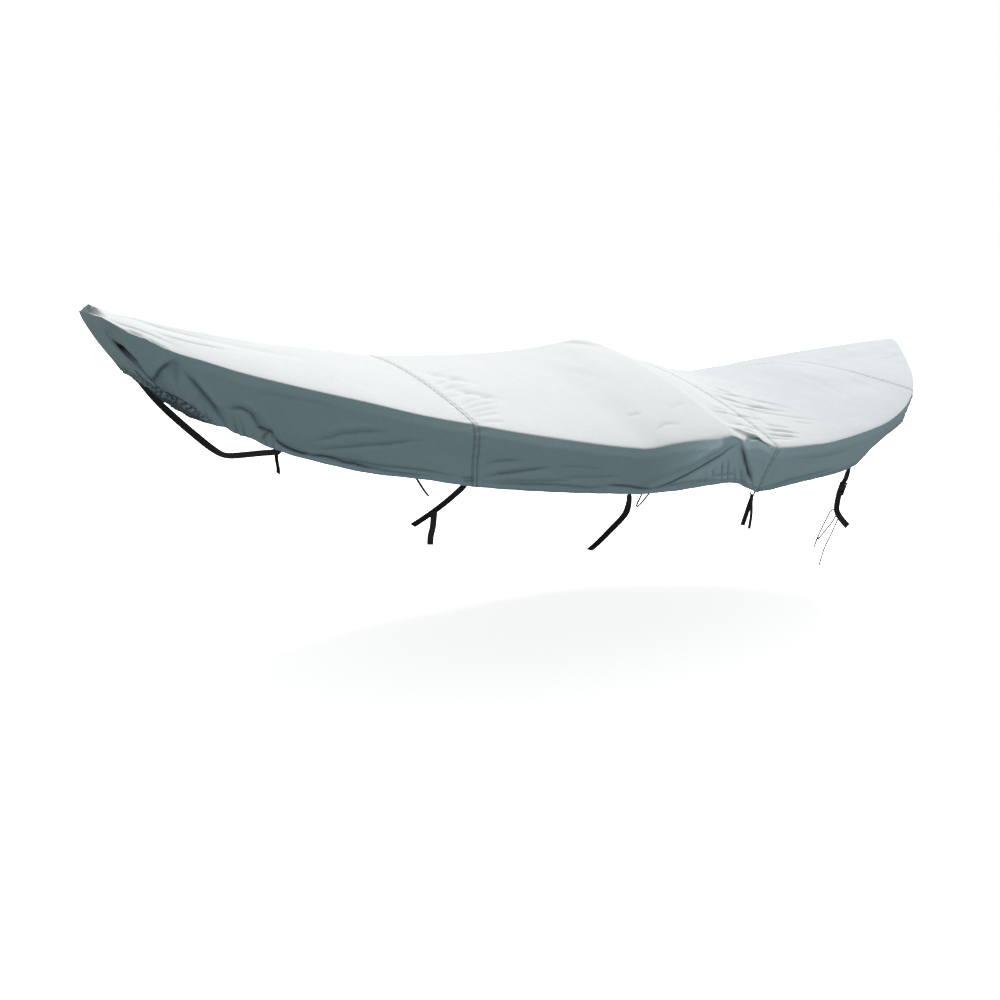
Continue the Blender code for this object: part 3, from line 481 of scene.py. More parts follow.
# Sharp creases in the starboard skirt: form, half width, height out of the cloth, how dark the painted
# shade in its core is, then x and how far down from the rail at each point. A lap is high on its left, seen
# along the points, and drops at once on its right; a line is a narrow valley or ridge.
skirtCreases = [
    # the deep fold at the stern's corner
    ("lap", 24, -15, 1, -2420, 50, -2420, 78, -2402, 87, -2380, 86, -2363, 92, -2350, 108, -2343, 125),
    ("line", 16, -10, 1, -2420, 84, -2395, 88, -2372, 93, -2355, 106, -2346, 124),
    ("line", 20, -1, 0.8, -2418, 74, -2396, 80, -2372, 84, -2356, 94, -2344, 112),
    ("line", 8, -8, 0.8, -2354, 98, -2342, 135, -2338, 180, -2329, 196, -2318, 213),
    ("line", 16, 10, 0, -2379, 49, -2354, 60, -2335, 85, -2326, 123, -2313, 163),
    # gathers above the stern's hem and the short folds forward of them
    ("line", 7, -8, 0.9, -2420, 148, -2417, 168, -2407, 192, -2407, 225, -2370, 221, -2335, 224),
    ("lap", 18, 13, 0.8, -2205, 26, -2221, 42, -2263, 91, -2307, 145, -2332, 179),
    ("line", 20, -6, 0.25, -2200, 16, -2213, 69, -2241, 140),
    ("line", 7, -7, 0.8, -2329, 194, -2301, 206, -2263, 202, -2232, 205, -2194, 206),
    ("line", 14, -13, 0.65, -2184, 60, -2172, 78, -2150, 114, -2125, 157, -2106, 207),
    ("line", 12, 7, 0, -2147, 71, -2128, 100, -2109, 130, -2087, 164),
    ("line", 9, -10, 0.6, -2068, 146, -2015, 129, -1987, 139, -1968, 170, -1949, 178),
    ("line", 12, 6, 0, -2021, 103, -1980, 109, -1952, 133, -1927, 165),
    # where the stern tie pulls the hem in
    ("line", 8, -10, 0.9, -1977, 176, -1955, 183, -1930, 188, -1918, 203),
    ("line", 6, -6, 0.6, -1968, 223, -1940, 195, -1924, 176),
    ("line", 9, -12, 1, -1924, 190, -1908, 218, -1889, 225, -1861, 228, -1830, 231, -1786, 227),
    ("lap", 12, -6, 0.9, -1836, 229, -1792, 229, -1748, 221, -1714, 223, -1682, 227, -1648, 224, -1613, 227,
     -1566, 221),
    ("line", 5, -2.8, 0.45, -1748, 221, -1663, 214, -1566, 211, -1500, 201, -1434, 193, -1365, 192, -1312,
     193),
    ("line", 5, -2.5, 0.4, -1663, 229, -1566, 225, -1500, 221, -1397, 208),
    # aft of the first seam
    ("line", 8, -4.5, 0.35, -1805, 185, -1732, 151, -1695, 128, -1635, 107, -1547, 81),
    ("line", 8, -4.5, 0.4, -1786, 206, -1698, 179, -1635, 157, -1538, 125, -1472, 97, -1422, 82),
    ("line", 10, 3, 0, -1770, 147, -1685, 103, -1572, 70),
    ("line", 12, -2.5, 0.15, -1965, 51, -1889, 42, -1798, 36, -1704, 34),
    ("line", 5, -2, 0.5, -1287, 196, -1243, 188),
    ("line", 5, -2, 0.5, -1280, 206, -1240, 199),
    # forward of it
    ("line", 7, -3, 0.35, -1196, 126, -1130, 107, -1073, 96),
    ("line", 8, -5, 0.55, -1202, 174, -1149, 159, -1070, 137, -992, 117, -957, 106),
    ("line", 9, 3, 0, -1192, 156, -1123, 137, -1042, 113),
    ("line", 6, -2.5, 0.3, -1158, 183, -992, 162, -844, 142),
    ("line", 7, -2.5, 0.25, -910, 141, -822, 129, -731, 120, -627, 107),
    ("line", 7, -2, 0.2, -929, 102, -825, 90, -725, 89),
    ("line", 5, -2.5, 0.45, -1205, 197, -1070, 184, -926, 168, -772, 166, -668, 150),
    ("lap", 10, -6, 0.8, -696, 148, -605, 146, -521, 153, -439, 162),
    # the long pull amidships
    ("lap", 16, -9, 0.9, -477, 159, -417, 162, -354, 156, -273, 134, -182, 106, -78, 71, 10, 24),
    ("line", 14, 6, 0, -367, 109, -279, 82, -172, 51, -59, 35),
    ("line", 8, -4, 0.4, -417, 165, -310, 166, -197, 168, -81, 173),
    # the lapped wedge and the gathers beside it
    ("lap", 30, -13, 1, 29, 6, 38, 36, 66, 86, 104, 140, 142, 188),
    ("line", 12, 6, 0, 7, 56, 48, 97, 88, 158),
    ("line", 6, -5, 0.35, -122, 121, -112, 182),
    ("line", 6, -5, 0.45, -72, 100, -53, 189),
    ("line", 6, -5.5, 0.45, -34, 96, -12, 191),
    ("line", 6, -4.5, 0.35, 13, 116, 38, 184),
    ("line", 6, -5, 0.4, 54, 114, 95, 195),
    ("line", 6, -3.5, 0.3, -169, 132, -153, 186),
    ("line", 6, -3, 0.35, -125, 154, -47, 160, 44, 149),
    # towards the bow
    ("line", 6, -3, 0.45, 255, 168, 431, 153, 625, 145, 807, 145),
    ("line", 9, -3, 0.15, 440, 53, 697, 67, 870, 66),
]
# the same in the top, with x and y at each point
topCreases = [
    # streaks at the stern
    ("line", 9, -3, 0.22, -2414, -55, -2288, -46, -2153, -91, -2015, -137),
    ("line", 9, -3.5, 0.25, -2420, -137, -2326, -168, -2232, -212, -2181, -254),
    ("line", 10, -3.5, 0.25, -2250, -158, -2122, -212, -1980, -243),
    ("line", 9, -3, 0.2, -2185, -69, -2037, -89, -1839, -99),
    ("line", 10, -4.5, 0.35, -2348, -195, -2323, -206, -2294, -232),
    ("line", 9, -4, 0.35, -2288, -232, -2254, -260, -2219, -280),
    # puckers by the first seam
    ("line", 13, -2.6, 0.14, -1218, -445, -1130, -400, -1023, -356),
    ("line", 13, -2.3, 0.11, -1218, -495, -1139, -463, -1054, -443),
    ("line", 13, -2, 0.11, -1233, -562, -1158, -535, -1070, -507),
    ("line", 13, -2.9, 0.15, -1227, -633, -1139, -587, -1010, -546),
    ("line", 13, -2.9, 0.15, -1230, -663, -1114, -621, -1010, -591),
    ("line", 13, -2.9, 0.15, -1230, -694, -1149, -669, -1051, -646),
    ("line", 13, -2.6, 0.14, -1230, -721, -1170, -707, -1067, -684),
    ("line", 12, -2.3, 0.14, -1221, -755, -1161, -749, -1092, -748),
    ("line", 13, -1.6, 0.08, -1189, -368, -1089, -304, -1023, -281),
    # the saddle between the ridge's two peaks
    ("line", 12, -2.8, 0.13, 480, -316, 562, -297, 632, -310, 691, -333, 739, -345),
    ("line", 12, -3.5, 0.19, 390, -421, 438, -417, 482, -431, 523, -449, 561, -454),
    ("line", 12, -4.5, 0.32, 323, -489, 488, -486, 619, -521, 718, -583, 784, -665),
    ("line", 14, -6.9, 0.58, 297, -533, 388, -571, 484, -602, 584, -630, 690, -660),
    ("line", 11, -3.5, 0.22, 258, -621, 402, -655, 545, -688, 686, -726, 826, -772),
    ("line", 10, -3.5, 0.22, 99, -714, 108, -728, 130, -731, 165, -724, 211, -707),
    ("line", 10, -4.5, 0.38, 37, -752, 125, -768, 216, -751, 310, -733, 408, -747),
    ("line", 10, -2.5, 0.16, 596, -765, 629, -770, 661, -776, 693, -782, 723, -789),
    ("line", 10, -3, 0.19, 380, -786, 413, -796, 447, -804, 484, -811, 522, -816),
    ("line", 9, -5, 0.54, 310, -828, 369, -828, 424, -836, 475, -849, 521, -861),
    ("line", 9, -5, 0.54, 284, -867, 337, -869, 389, -874, 439, -880, 487, -888),
    ("line", 9, -3.5, 0.26, 73, -827, 100, -851, 145, -853, 208, -842, 288, -826),
    ("line", 9, -3.5, 0.29, 250, -893, 296, -892, 341, -893, 385, -895, 427, -899),
    ("line", 12, 3.5, 0, -8, -876, 41, -861, 93, -874, 149, -886, 208, -865),
    ("line", 13, 3.5, 0, 377, -652, 434, -646, 485, -646, 531, -650, 571, -660),
    # the dart at the rail
    ("lap", 16, -6, 0.1, 245, -945, 161, -942, 101, -923, 57, -906),
    ("line", 10, 7, 0, 10, -867, 70, -883, 117, -911, 179, -934),
    # single marks
    ("line", 11, -1.8, 0.17, -448, -738, -411, -740, -367, -737),
    ("line", 13, -1.8, 0.14, -395, -847, -320, -827, -241, -839),
    ("line", 14, -1.5, 0.07, -204, -709, -182, -737, -81, -713),
    ("line", 14, -2.4, 0.12, 2101, -253, 2164, -278, 2198, -309),
    ("line", 14, -2.4, 0.12, 2201, -279, 2292, -262, 2311, -275),
    ("line", 14, -4.5, 0.25, 1100, 50, 1400, -60, 1627, -194),
    # port side
    ("lap", 26, -8, 0.3, 360, 430, 470, 560, 640, 720),
    ("line", 22, -8, 0.3, 200, 640, 360, 690, 580, 720),
    ("line", 20, -7, 0.25, 300, 760, 420, 800, 560, 830),
    ("line", 22, -6, 0.2, 300, 320, 520, 380, 740, 520),
    ("line", 22, -6, 0.2, -560, 420, -400, 620, -330, 800),
    ("line", 20, -5, 0.22, -1220, 450, -1060, 405),
    ("line", 20, -6, 0.25, -1225, 640, -1050, 590),
    ("line", 18, -5, 0.25, -1230, 715, -1080, 680),
    ("line", 20, -5, 0.22, -2380, 120, -2260, 180, -2100, 230),
    ("line", 20, -4, 0.2, -2200, 70, -1900, 120),
]
# and in the port skirt
portCreases = [
    ("lap", 18, -16, 0.8, -2400, 50, -2360, 90, -2330, 150, -2310, 200),
    ("line", 8, -8, 0.7, -2400, 150, -2350, 195, -2260, 200),
    ("line", 11, -10, 0.6, -2190, 70, -2150, 130, -2130, 190),
    ("line", 11, -9, 0.5, -2020, 100, -1970, 150, -1940, 200),
    ("lap", 11, -8, 0.8, -1920, 170, -1860, 195, -1740, 205, -1600, 200),
    ("line", 9, -5, 0.35, -1640, 170, -1500, 120, -1380, 80),
    ("line", 9, -4, 0.3, -1560, 185, -1380, 140, -1300, 120),
    ("line", 9, -5, 0.35, -900, 135, -740, 110, -600, 80),
    ("lap", 16, -8, 0.7, -480, 155, -300, 140, -80, 80, 60, 20),
    ("line", 8, -5, 0.4, 120, 120, 130, 185),
    ("line", 8, -5, 0.4, 180, 110, 186, 188),
    ("lap", 14, -9, 0.6, 345, 10, 335, 80, 350, 160),
    ("line", 10, -5, 0.3, 980, 130, 1100, 90, 1220, 60),
]


def columnAt(name, x):
    # a column of the sections at x: smooth, and flat where the table is
    xs, ys = sectionRows[:, 0], sectionRows[:, sectionNames.index(name)]
    step = np.diff(xs)
    slope = np.diff(ys) / step
    bend = np.r_[slope[0], np.zeros(len(slope) - 1), slope[-1]]
    same = slope[:-1] * slope[1:] > 0
    bend[1:-1] = np.where(same, 2 * slope[:-1] * slope[1:] / np.where(same, slope[:-1] + slope[1:], 1), 0)
    k = np.clip(np.searchsorted(xs, x) - 1, 0, len(step) - 1)
    t = (x - xs[k]) / step[k]
    return ((2 * t**3 - 3 * t**2 + 1) * ys[k] + (t**3 - 2 * t**2 + t) * step[k] * bend[k]
            + (3 * t**2 - 2 * t**3) * ys[k + 1] + (t**3 - t**2) * step[k] * bend[k + 1])


def foldPush(x, y, row, across=1.0):
    x0, y0, x1, y1, wide, push = row
    ax, ay = x1 - x0, (y1 - y0) * across
    dx, dy = x - x0, (y - y0) * across
    t = held((dx * ax + dy * ay) / (ax * ax + ay * ay))
    near = np.hypot(dx - t * ax, dy - t * ay) / (wide * 1.6)
    return push * np.clip(np.minimum(t, 1 - t) * 5.0, 0.35, 1.0) * np.exp(-near * near * 1.8)


def wedgeLift(x, low):
    # the lapped wedge of cloth rises at once at its crease and dies away to the seam
    aft = wedgeShape["topAft"] + (wedgeShape["bottomAft"] - wedgeShape["topAft"]) * low
    fore = wedgeShape["topFore"] + (wedgeShape["bottomFore"] - wedgeShape["topFore"]) * low
    across = (x - aft) / (fore - aft)
    rise, fall = eased(held((across + 0.15) / 0.20)), held((1.6 - across) / 0.9)
    lift = wedgeShape["lift"] * rise * fall * held(low * 3.0)
    return np.where((across < -0.15) | (across > 1.6), 0.0, lift)


def railInset(x):
    return coverShape["inset"] * held((columnAt("half", x) - 0.13) / 0.30)


def sternLean(x, low):
    # the skirt's stations by the stern run almost straight down to the hem
    return coverShape["draw"] * np.maximum(columnAt("rake", x), 0.0) * (low - low**1.6)


def seamSlant(x, low):
    # the middle seam runs aft as it comes down the starboard skirt
    return -coverShape["slant"] * (1 - np.exp(-3.2 * low)) * np.exp(-((x - coverShape["seams"][1]) / 0.11)**2)


def skirtPoints(x, low, side):
    rail = columnAt("rail" if side < 0 else "railPort", x)
    hem, half, tuck = columnAt("hem", x), columnAt("half", x), columnAt("tuck", x)
    if side > 0:
        hem = hem + coverShape["sternSkew"] * held((-1.70 - x) / 0.60)
    drop = low * (rail - hem)
    over = held(drop / coverShape["over"])
    over = over - 0.35 * over * held(over - 0.85)          # out to the rail, then a little in
    out = half - railInset(x) - tuck * low + railInset(x) * over
    z = rail - drop - 0.004 * over
    fade = np.minimum(1.0, np.maximum(half - 0.05, 0.0) / 0.1)
    lean = sternLean(x, low)
    if side < 0:
        push = sum(foldPush(x + lean, low, row, 0.2) for row in skirtFolds) + wedgeLift(x, low)
    else:
        push = coverShape["portSlack"] * np.sin(x * 11.0 + 0.7) * low
    gather = np.clip((-1.75 - x) / 0.35, 0.15, 1.0)
    outSway, upSway = coverShape["sway"]
    push = push + outSway * gather * (np.sin(x * 46.0 + side) + 0.6 * np.sin(x * 29.0 + 2.0)) * low**3
    z = z + upSway * gather * np.sin(x * 61.0 + 1.3 * side) * low**4
    y = side * np.maximum(out + push * fade, 0.0)
    return np.stack([x + columnAt("rake", x) * low**1.6 + lean, y, z], -1)


# peak: how far the top rises at the stern. bow: how far the wall there bows out. slack: the depth of its
# folds. fold: where across the wall the deep fold starts, how wide, how dark the painted shade in its core
# is, and
# from and to how far down. turned: where painted shade lies on cloth folded away from the light, and how much
# of it
sternShape = {"peak": 0.014, "peakAt": (-2.404, 0.080), "peakSize": (0.028, 0.048), "bow": 0.004,
              "slack": 0.0060, "foldAt": 0.06, "foldWide": 0.035, "foldDark": 0.55,
              "foldDeep": (0.030, 0.125), "shadePatchAt": (-2.408, 0.020), "shadePatchSize": (0.008, 0.034),
              "shadePatchShare": 0.35}
# the dart's lip, painted in shade: how wide it is at x
dartLip = (0.060, 0.084, 0.120, 0.200, 0.262), (0.0, 0.0165, 0.0135, 0.0050, 0.0)


def offCentre(x, y, centre, size):
    return (x - centre[0]) / size[0], (y - centre[1]) / size[1]


def mound(x, y, centre, size):
    across, along = offCentre(x, y, centre, size)
    return np.exp(-across**2 - along**2)


def topPoints(x, w):
    half = columnAt("half", x) - railInset(x)
    starboard, port = columnAt("rail", x), columnAt("railPort", x)
    rail = np.where(w < 0, starboard, port)
    u = 1.0 - np.abs(w)
    arch = 0.5 * u**0.7 + 0.5 * np.sin(u * np.pi / 2)
    y = w * half
    z = rail + (columnAt("ridge", x) - rail) * arch
    # the edge at the stern is drawn straight, and the ridge rises just behind it
    back = eased(held((x - coverShape["sternEnd"]) / (0.006 + 0.012 * (1 - w))))
    level = (starboard * (1 - w) + port * (1 + w)) / 2
    z = level + (z - level) * back
    z = z + sternShape["peak"] * back * mound(x, y, sternShape["peakAt"], sternShape["peakSize"])
    fade = np.minimum(1.0, half / 0.1) * held(u * 9.0)
    return np.stack([x, y, z + sum(foldPush(x, y, row) for row in topFolds) * fade], -1)


def creaseRelief(a, b, rows):
    # what the sharp creases add at (a, b): height, and how dark the painted shade in their cores is
    total, dark = np.zeros_like(a), np.zeros_like(a)
    for form, wide, high, shade, *knots in rows:
        wide, high, k = wide / 1000, high / 1000, np.reshape(knots, (-1, 2)) / 1000
        low, top = k.min(axis=0) - 4 * wide, k.max(axis=0) + 4 * wide
        near = (a > low[0]) & (a < top[0]) & (b > low[1]) & (b < top[1])
        if not near.any():
            continue
        p, starts = np.stack([a[near], b[near]], -1), distances(k)
        best, along, side = np.full(len(p), 9.0), np.zeros(len(p)), np.ones(len(p))
        for i, length in enumerate(np.linalg.norm(np.diff(k, axis=0), axis=1)):
            way = (k[i + 1] - k[i]) / length
            off = p - k[i]
            t = np.clip(off @ way, 0.0, length)
            gone = np.linalg.norm(off - t[:, None] * way, axis=1)
            closer = gone < best
            best = np.where(closer, gone, best)
            along = np.where(closer, starts[i] + t, along)
            side = np.where(closer, np.sign(way[0] * off[:, 1] - way[1] * off[:, 0]), side)
        ends = 0.10 + 0.90 * eased(held(np.minimum(along, starts[-1] - along) / (0.28 * starts[-1])))
        if form == "lap":                       # broad on its left, sharp on its right
            reach = np.where(side > 0, wide * 1.3, wide * 0.30)
            core = np.where(side > 0, max(0.0052, wide * 0.30), max(0.0038, wide * 0.20))
        else:
            reach, core = wide, max(0.0046, min(wide * 0.55, 0.0095))
        total[near] += high * ends * np.exp(-(best / reach)**2)
        dark[near] = np.maximum(dark[near], shade * ends**0.6 * np.exp(-(best / core)**2))
    return total, dark


def ripple(a, b, seed):
    # slow, shallow looseness in the cloth
    total = np.zeros_like(a)
    turner = np.random.default_rng(seed)
    for k in range(9):
        way = turner.uniform(0, np.pi)
        wave = turner.uniform(7.0, 26.0)
        total += np.sin((a * np.cos(way) + b * np.sin(way)) * wave + turner.uniform(0, 6.28)) / (wave / 7.0)
    return total / 3.5


# band: how high the ruffle stands at x
gatherShape = {"start": -1.82, "pleat": 0.0065, "pleatHigh": 0.085, "ruffle": 0.0036,
               "ruffleStart": -2.13, "apart": 0.0175, "rows": 0.013,
               "band": ((-2.40, -2.28, -2.10, -1.95), (0.046, 0.042, 0.030, 0.012))}


def gatherRelief(x, fromHem, side):
    # the drawn-up hem at the stern: a ruffled band, and longer uneven pleats that fade upwards; dark is
    # painted shade in their hollows
    shape = gatherShape
    share = held((shape["start"] - x) / 0.16)
    pleats = np.abs(np.sin(x * 88.0 + 2.0 * np.sin(x * 19.0) + side)) * 0.6
    pleats = pleats + np.abs(np.sin(x * 143.0 + 1.0)) * 0.4
    up = held(1 - fromHem / shape["pleatHigh"])**1.5
    tight = held((np.interp(x, *shape["band"]) - fromHem) / 0.008) * held((shape["ruffleStart"] - x) / 0.09)
    waver = 1.3 * np.sin(x * 71.0) + 1.8 * np.sin(fromHem * 300.0 + x * 60.0) + side
    ruffle = np.sin(x * 2 * np.pi / shape["apart"] + waver)
    dots = np.sin(fromHem * 2 * np.pi / shape["rows"] + 1.5 * np.sin(x * 210.0) + side)
    crinkle = 0.65 * ruffle + 0.35 * dots
    height = -shape["pleat"] * share * (pleats - 0.45) * up + shape["ruffle"] * tight * crinkle
    dark = 0.55 * share * up * held((pleats - 0.72) * 4)
    return height, np.maximum(dark, tight * held(0.25 - 1.5 * crinkle))


railRows = np.array([0.003, 0.007, 0.012, 0.018, 0.024, 0.030, 0.036])
hemRows = np.array([0.028, 0.024, 0.0205, 0.0175, 0.0140, 0.0105, 0.0075, 0.0045, 0.0022, 0.0])
acrossParts = ((-1.0, -0.985, 4), (-0.985, -0.46, 100), (-0.46, 0.0, 24), (0.0, 0.70, 26), (0.70, 0.985, 15),
               (0.985, 1.0, 4))
topAcross = np.concatenate([np.linspace(*part)[:-1] for part in acrossParts] + [[1.0]])
besideSeam = np.array([0.0, 0.0025, 0.0048, 0.0068, 0.0088, 0.0104, 0.0118, 0.0145, 0.0180])


def skirtDeep(x):
    return columnAt("rail", x) - columnAt("hem", x)


def rowsDown(x):
    # skirt rows as shares of its depth at each station: close at the rail and at the hem
    deep = skirtDeep(x)[:, None]
    first, last = railRows[None, :] + 0 * deep, deep - hemRows[None, :]
    middle = first[:, -1:] + (last[:, :1] - first[:, -1:]) * (np.arange(1, 27) / 27)[None, :]
    return np.concatenate([first, middle, last], axis=1) / deep


def stationsOf(lo, hi, seamLo, seamHi):
    # a panel's stations: close beside its seams, and between them as coverShape's gaps say
    start = lo + besideSeam if seamLo else lo + np.array([0.0, 0.0015, 0.004, 0.008])
    end = hi - besideSeam[::-1] if seamHi else hi - np.array([0.020, 0.013, 0.007, 0.003, 0.0])
    if not seamLo:                             # the gathered stern end needs closer ones
        start = np.r_[start, np.arange(start[-1] + 0.0052, lo + 0.250, 0.0052)]
    # the count of stations, summed along the panel; one lies wherever it is whole
    places = np.linspace(start[-1], end[0], 4001)
    gaps = np.interp(places, *zip(*coverShape["gaps"]))
    total = np.r_[0.0, np.cumsum((places[1:] - places[:-1]) / gaps[1:])]
    count = int(np.ceil(total[-1]))
    return np.r_[start, np.interp(np.arange(1, count) * total[-1] / count, total, places), end]


def seamHeight(x, girth):
    # the lap stands proud, its stitched lines lie in grooves, and the cloth puckers beside them
    total, distance = np.zeros_like(x), np.full_like(x, 9.0)
    for number, seam in enumerate(coverShape["seams"]):
        off = x - seam
        distance = np.where(np.abs(off) < np.abs(distance), off, distance)
        total += coverShape["lapRise"] * held((coverShape["lap"] / 2 + 0.0007 - np.abs(off)) / 0.0014)
        for line in (-1, 1):
            total -= coverShape["groove"] * np.exp(-((off - line * coverShape["stitchIn"]) / 0.0016)**2)
        pull = np.exp(-(np.abs(off) / 0.030)**1.5)
        turn = girth * 2 * np.pi / coverShape["puckerApart"] + 1.7 * np.sin(girth * 23.0 + number) + number
        total += coverShape["pucker"] * pull * np.sin(turn)
    return total, distance


def clothGrid(x, withWall):
    # the outer face of a panel: its points, their relief, and its maps: size in metres, trim (from
    # seam, from hem) and folds (painted shade in the crease cores, painted shade where cloth is turned from
    # the sun)
    downs, xs = rowsDown(x), x[:, None]
    slant, lean = (rule(xs + 0 * downs, downs) for rule in (seamSlant, sternLean))
    over = topPoints(xs + 0 * topAcross[None, :], topAcross[None, :] + 0 * xs)
    points = np.concatenate([skirtPoints(xs + slant, downs, -1)[:, ::-1], over,
                             skirtPoints(xs + 0 * downs, downs, 1)], axis=1)
    deep = skirtDeep(x)[:, None]
    metres = downs * deep
    n, m, middle = downs.shape[1], len(topAcross), int(np.argmin(np.abs(topAcross)))
    near, top, far = slice(0, n), slice(n, n + m), slice(n + m, None)
    steps = np.linalg.norm(np.diff(points, axis=1), axis=2)
    girth = np.concatenate([np.zeros((len(x), 1)), np.cumsum(steps, axis=1)], axis=1)
    girth = girth - girth[:, n + middle][:, None]
    plainX = xs + 0 * girth
    up = deep - metres
    fromHem = np.concatenate([up[:, ::-1], deep + 0.05 + 0 * over[:, :, 0], up], axis=1)
    height, dark, turned = (np.zeros_like(girth) for _ in range(3))
    for part, along, across, rows in ((near, xs + (slant + lean)[:, ::-1], metres[:, ::-1], skirtCreases),
                                      (top, plainX[:, top], over[:, :, 1], topCreases),
                                      (far, plainX[:, far] + lean, metres, portCreases)):
        height[:, part], dark[:, part] = creaseRelief(along, across, rows)
    # painted shade on the cloth at the dart and at the stern's peak that is folded away from the sun
    lip = np.interp(plainX[:, top], *dartLip)
    fromRail = over[:, :, 1] + columnAt("half", xs) - railInset(xs)
    off = offCentre(plainX[:, top], over[:, :, 1], sternShape["shadePatchAt"], sternShape["shadePatchSize"])
    turned[:, top] = np.maximum(held((lip - fromRail) / 0.003 + 0.5) * (lip > 0),
                                sternShape["shadePatchShare"] * held((1.25 - np.hypot(*off)) * 2.5))
    for part, side in ((near, 0.0), (far, 1.1)):
        pleats, shade = gatherRelief(plainX[:, part], fromHem[:, part], side)
        height[:, part] += pleats
        dark[:, part] = np.maximum(dark[:, part], shade)
    height += coverShape["loose"] * ripple(plainX, girth, 5) * np.clip(fromHem / 0.10, 0.15, 1)
    seams, fromSeam = seamHeight(plainX, girth)
    hemBand = held((coverShape["hem"] + 0.0006 - fromHem) / 0.0012)
    height += seams + coverShape["hemRise"] * hemBand
    waver = 2.0 * np.sin(plainX * 17.0)
    height += coverShape["hemWave"] * hemBand * np.sin(plainX * 2 * np.pi / 0.021 + waver)
    for line in coverShape["hemStitches"]:
        height -= coverShape["groove"] * np.exp(-((fromHem - line) / 0.0018)**2)
    # the narrow bow closes to an edge: nothing is pushed there
    height *= held((coverShape["bowEnd"] - 0.004 - plainX) / 0.05)
    if withWall:
        height *= np.clip((plainX - coverShape["sternEnd"]) / 0.006, 0.35, 1)
    maps = [np.stack(pair, -1) for pair in ((plainX, girth), (fromSeam, fromHem), (dark, turned))]
    return points, height, maps


def gridNormals(points):
    n = np.cross(np.gradient(points, axis=0), np.gradient(points, axis=1))
    return n / np.maximum(np.linalg.norm(n, axis=2, keepdims=True), 1e-12)


def quads(rows, columns, start=0):
    i = np.arange(rows * columns).reshape(rows, columns) + start
    return np.stack([i[:-1, :-1], i[1:, :-1], i[1:, 1:], i[:-1, 1:]], -1).reshape(-1, 4)


stitchLines = []                     # runs of points with their normals, for the thread
seamStitchRow, hemStitchRows = 3, (6, 2)


def sternWall(outer, x):
    # the cloth across the narrow stern, between the two skirts and under the top's edge
    n = rowsDown(x).shape[1]
    starboard, edge, port = outer[0, :n][::-1], outer[0, n:-n], outer[0, -n:]
    left, right = np.vstack([edge[:1], starboard]), np.vstack([edge[-1:], port])
    marks, deep = np.r_[0.0, rowsDown(x[:1])[0]], skirtDeep(x[0])
    knots = [0, 0.035 / deep, 0.34, 0.52, 0.70, 1 - 0.025 / deep, 1 - 0.022 / deep, 1.0]
    r = np.interp(marks, knots, np.arange(8))
    t = (topAcross + 1) / 2
    wall = left[None] * (1 - t)[:, None, None] + right[None] * t[:, None, None]
    lift = edge - (left[0][None] * (1 - t)[:, None] + right[0][None] * t[:, None])
    wall = wall + lift[:, None, :] * ((1 - r / 7)**2)[None, :, None]
    inside = np.minimum(1, r)[None, :] * np.minimum(1, np.minimum(t, 1 - t) * 12)[:, None]
    wall[..., 0] -= sternShape["bow"] * np.sin(np.pi * t)[:, None] * np.minimum(1, r)[None, :]
    # slack cloth: soft upright folds that deepen to the hem
    folds = np.sin(t * 9.0 + 0.6)[:, None] * 0.6 + np.sin(t * 21.0 + 2.0)[:, None] * 0.4
    wall[..., 0] -= sternShape["slack"] * folds * (marks[None, :]**1.2) * inside
    places = coverShape["sternEnd"] - 0.30 * t[:, None] + 0 * marks[None, :]
    fromHem = (1 - marks)[None, :] * deep + 0 * places
    gathered, dark = gatherRelief(places, fromHem, 0.0)
    wall[..., 0] -= gathered * inside
    # the deep fold starts here, just round the corner, with painted shade along its core
    corner, drop = np.exp(-((t - sternShape["foldAt"]) / sternShape["foldWide"])**2), marks * deep
    starts, ends = sternShape["foldDeep"]
    fold = held((drop - starts) / 0.03) * held((ends - drop) / 0.03)
    dark = np.maximum(dark, sternShape["foldDark"] * corner[:, None] * fold[None, :])
    normals = gridNormals(wall)
    for line in (4, 8):
        stitchLines.append(("hemStern", wall[:, -line], normals[:, -line]))
    steps = np.linalg.norm(wall[:, -1] - wall[:, 0], axis=1).mean()
    maps = [(places, 0 * t[:, None] + marks[None, :] * steps), (0 * places + 1.0, fromHem), (dark, 0 * dark)]
    return wall, [np.stack(pair, -1) for pair in maps]


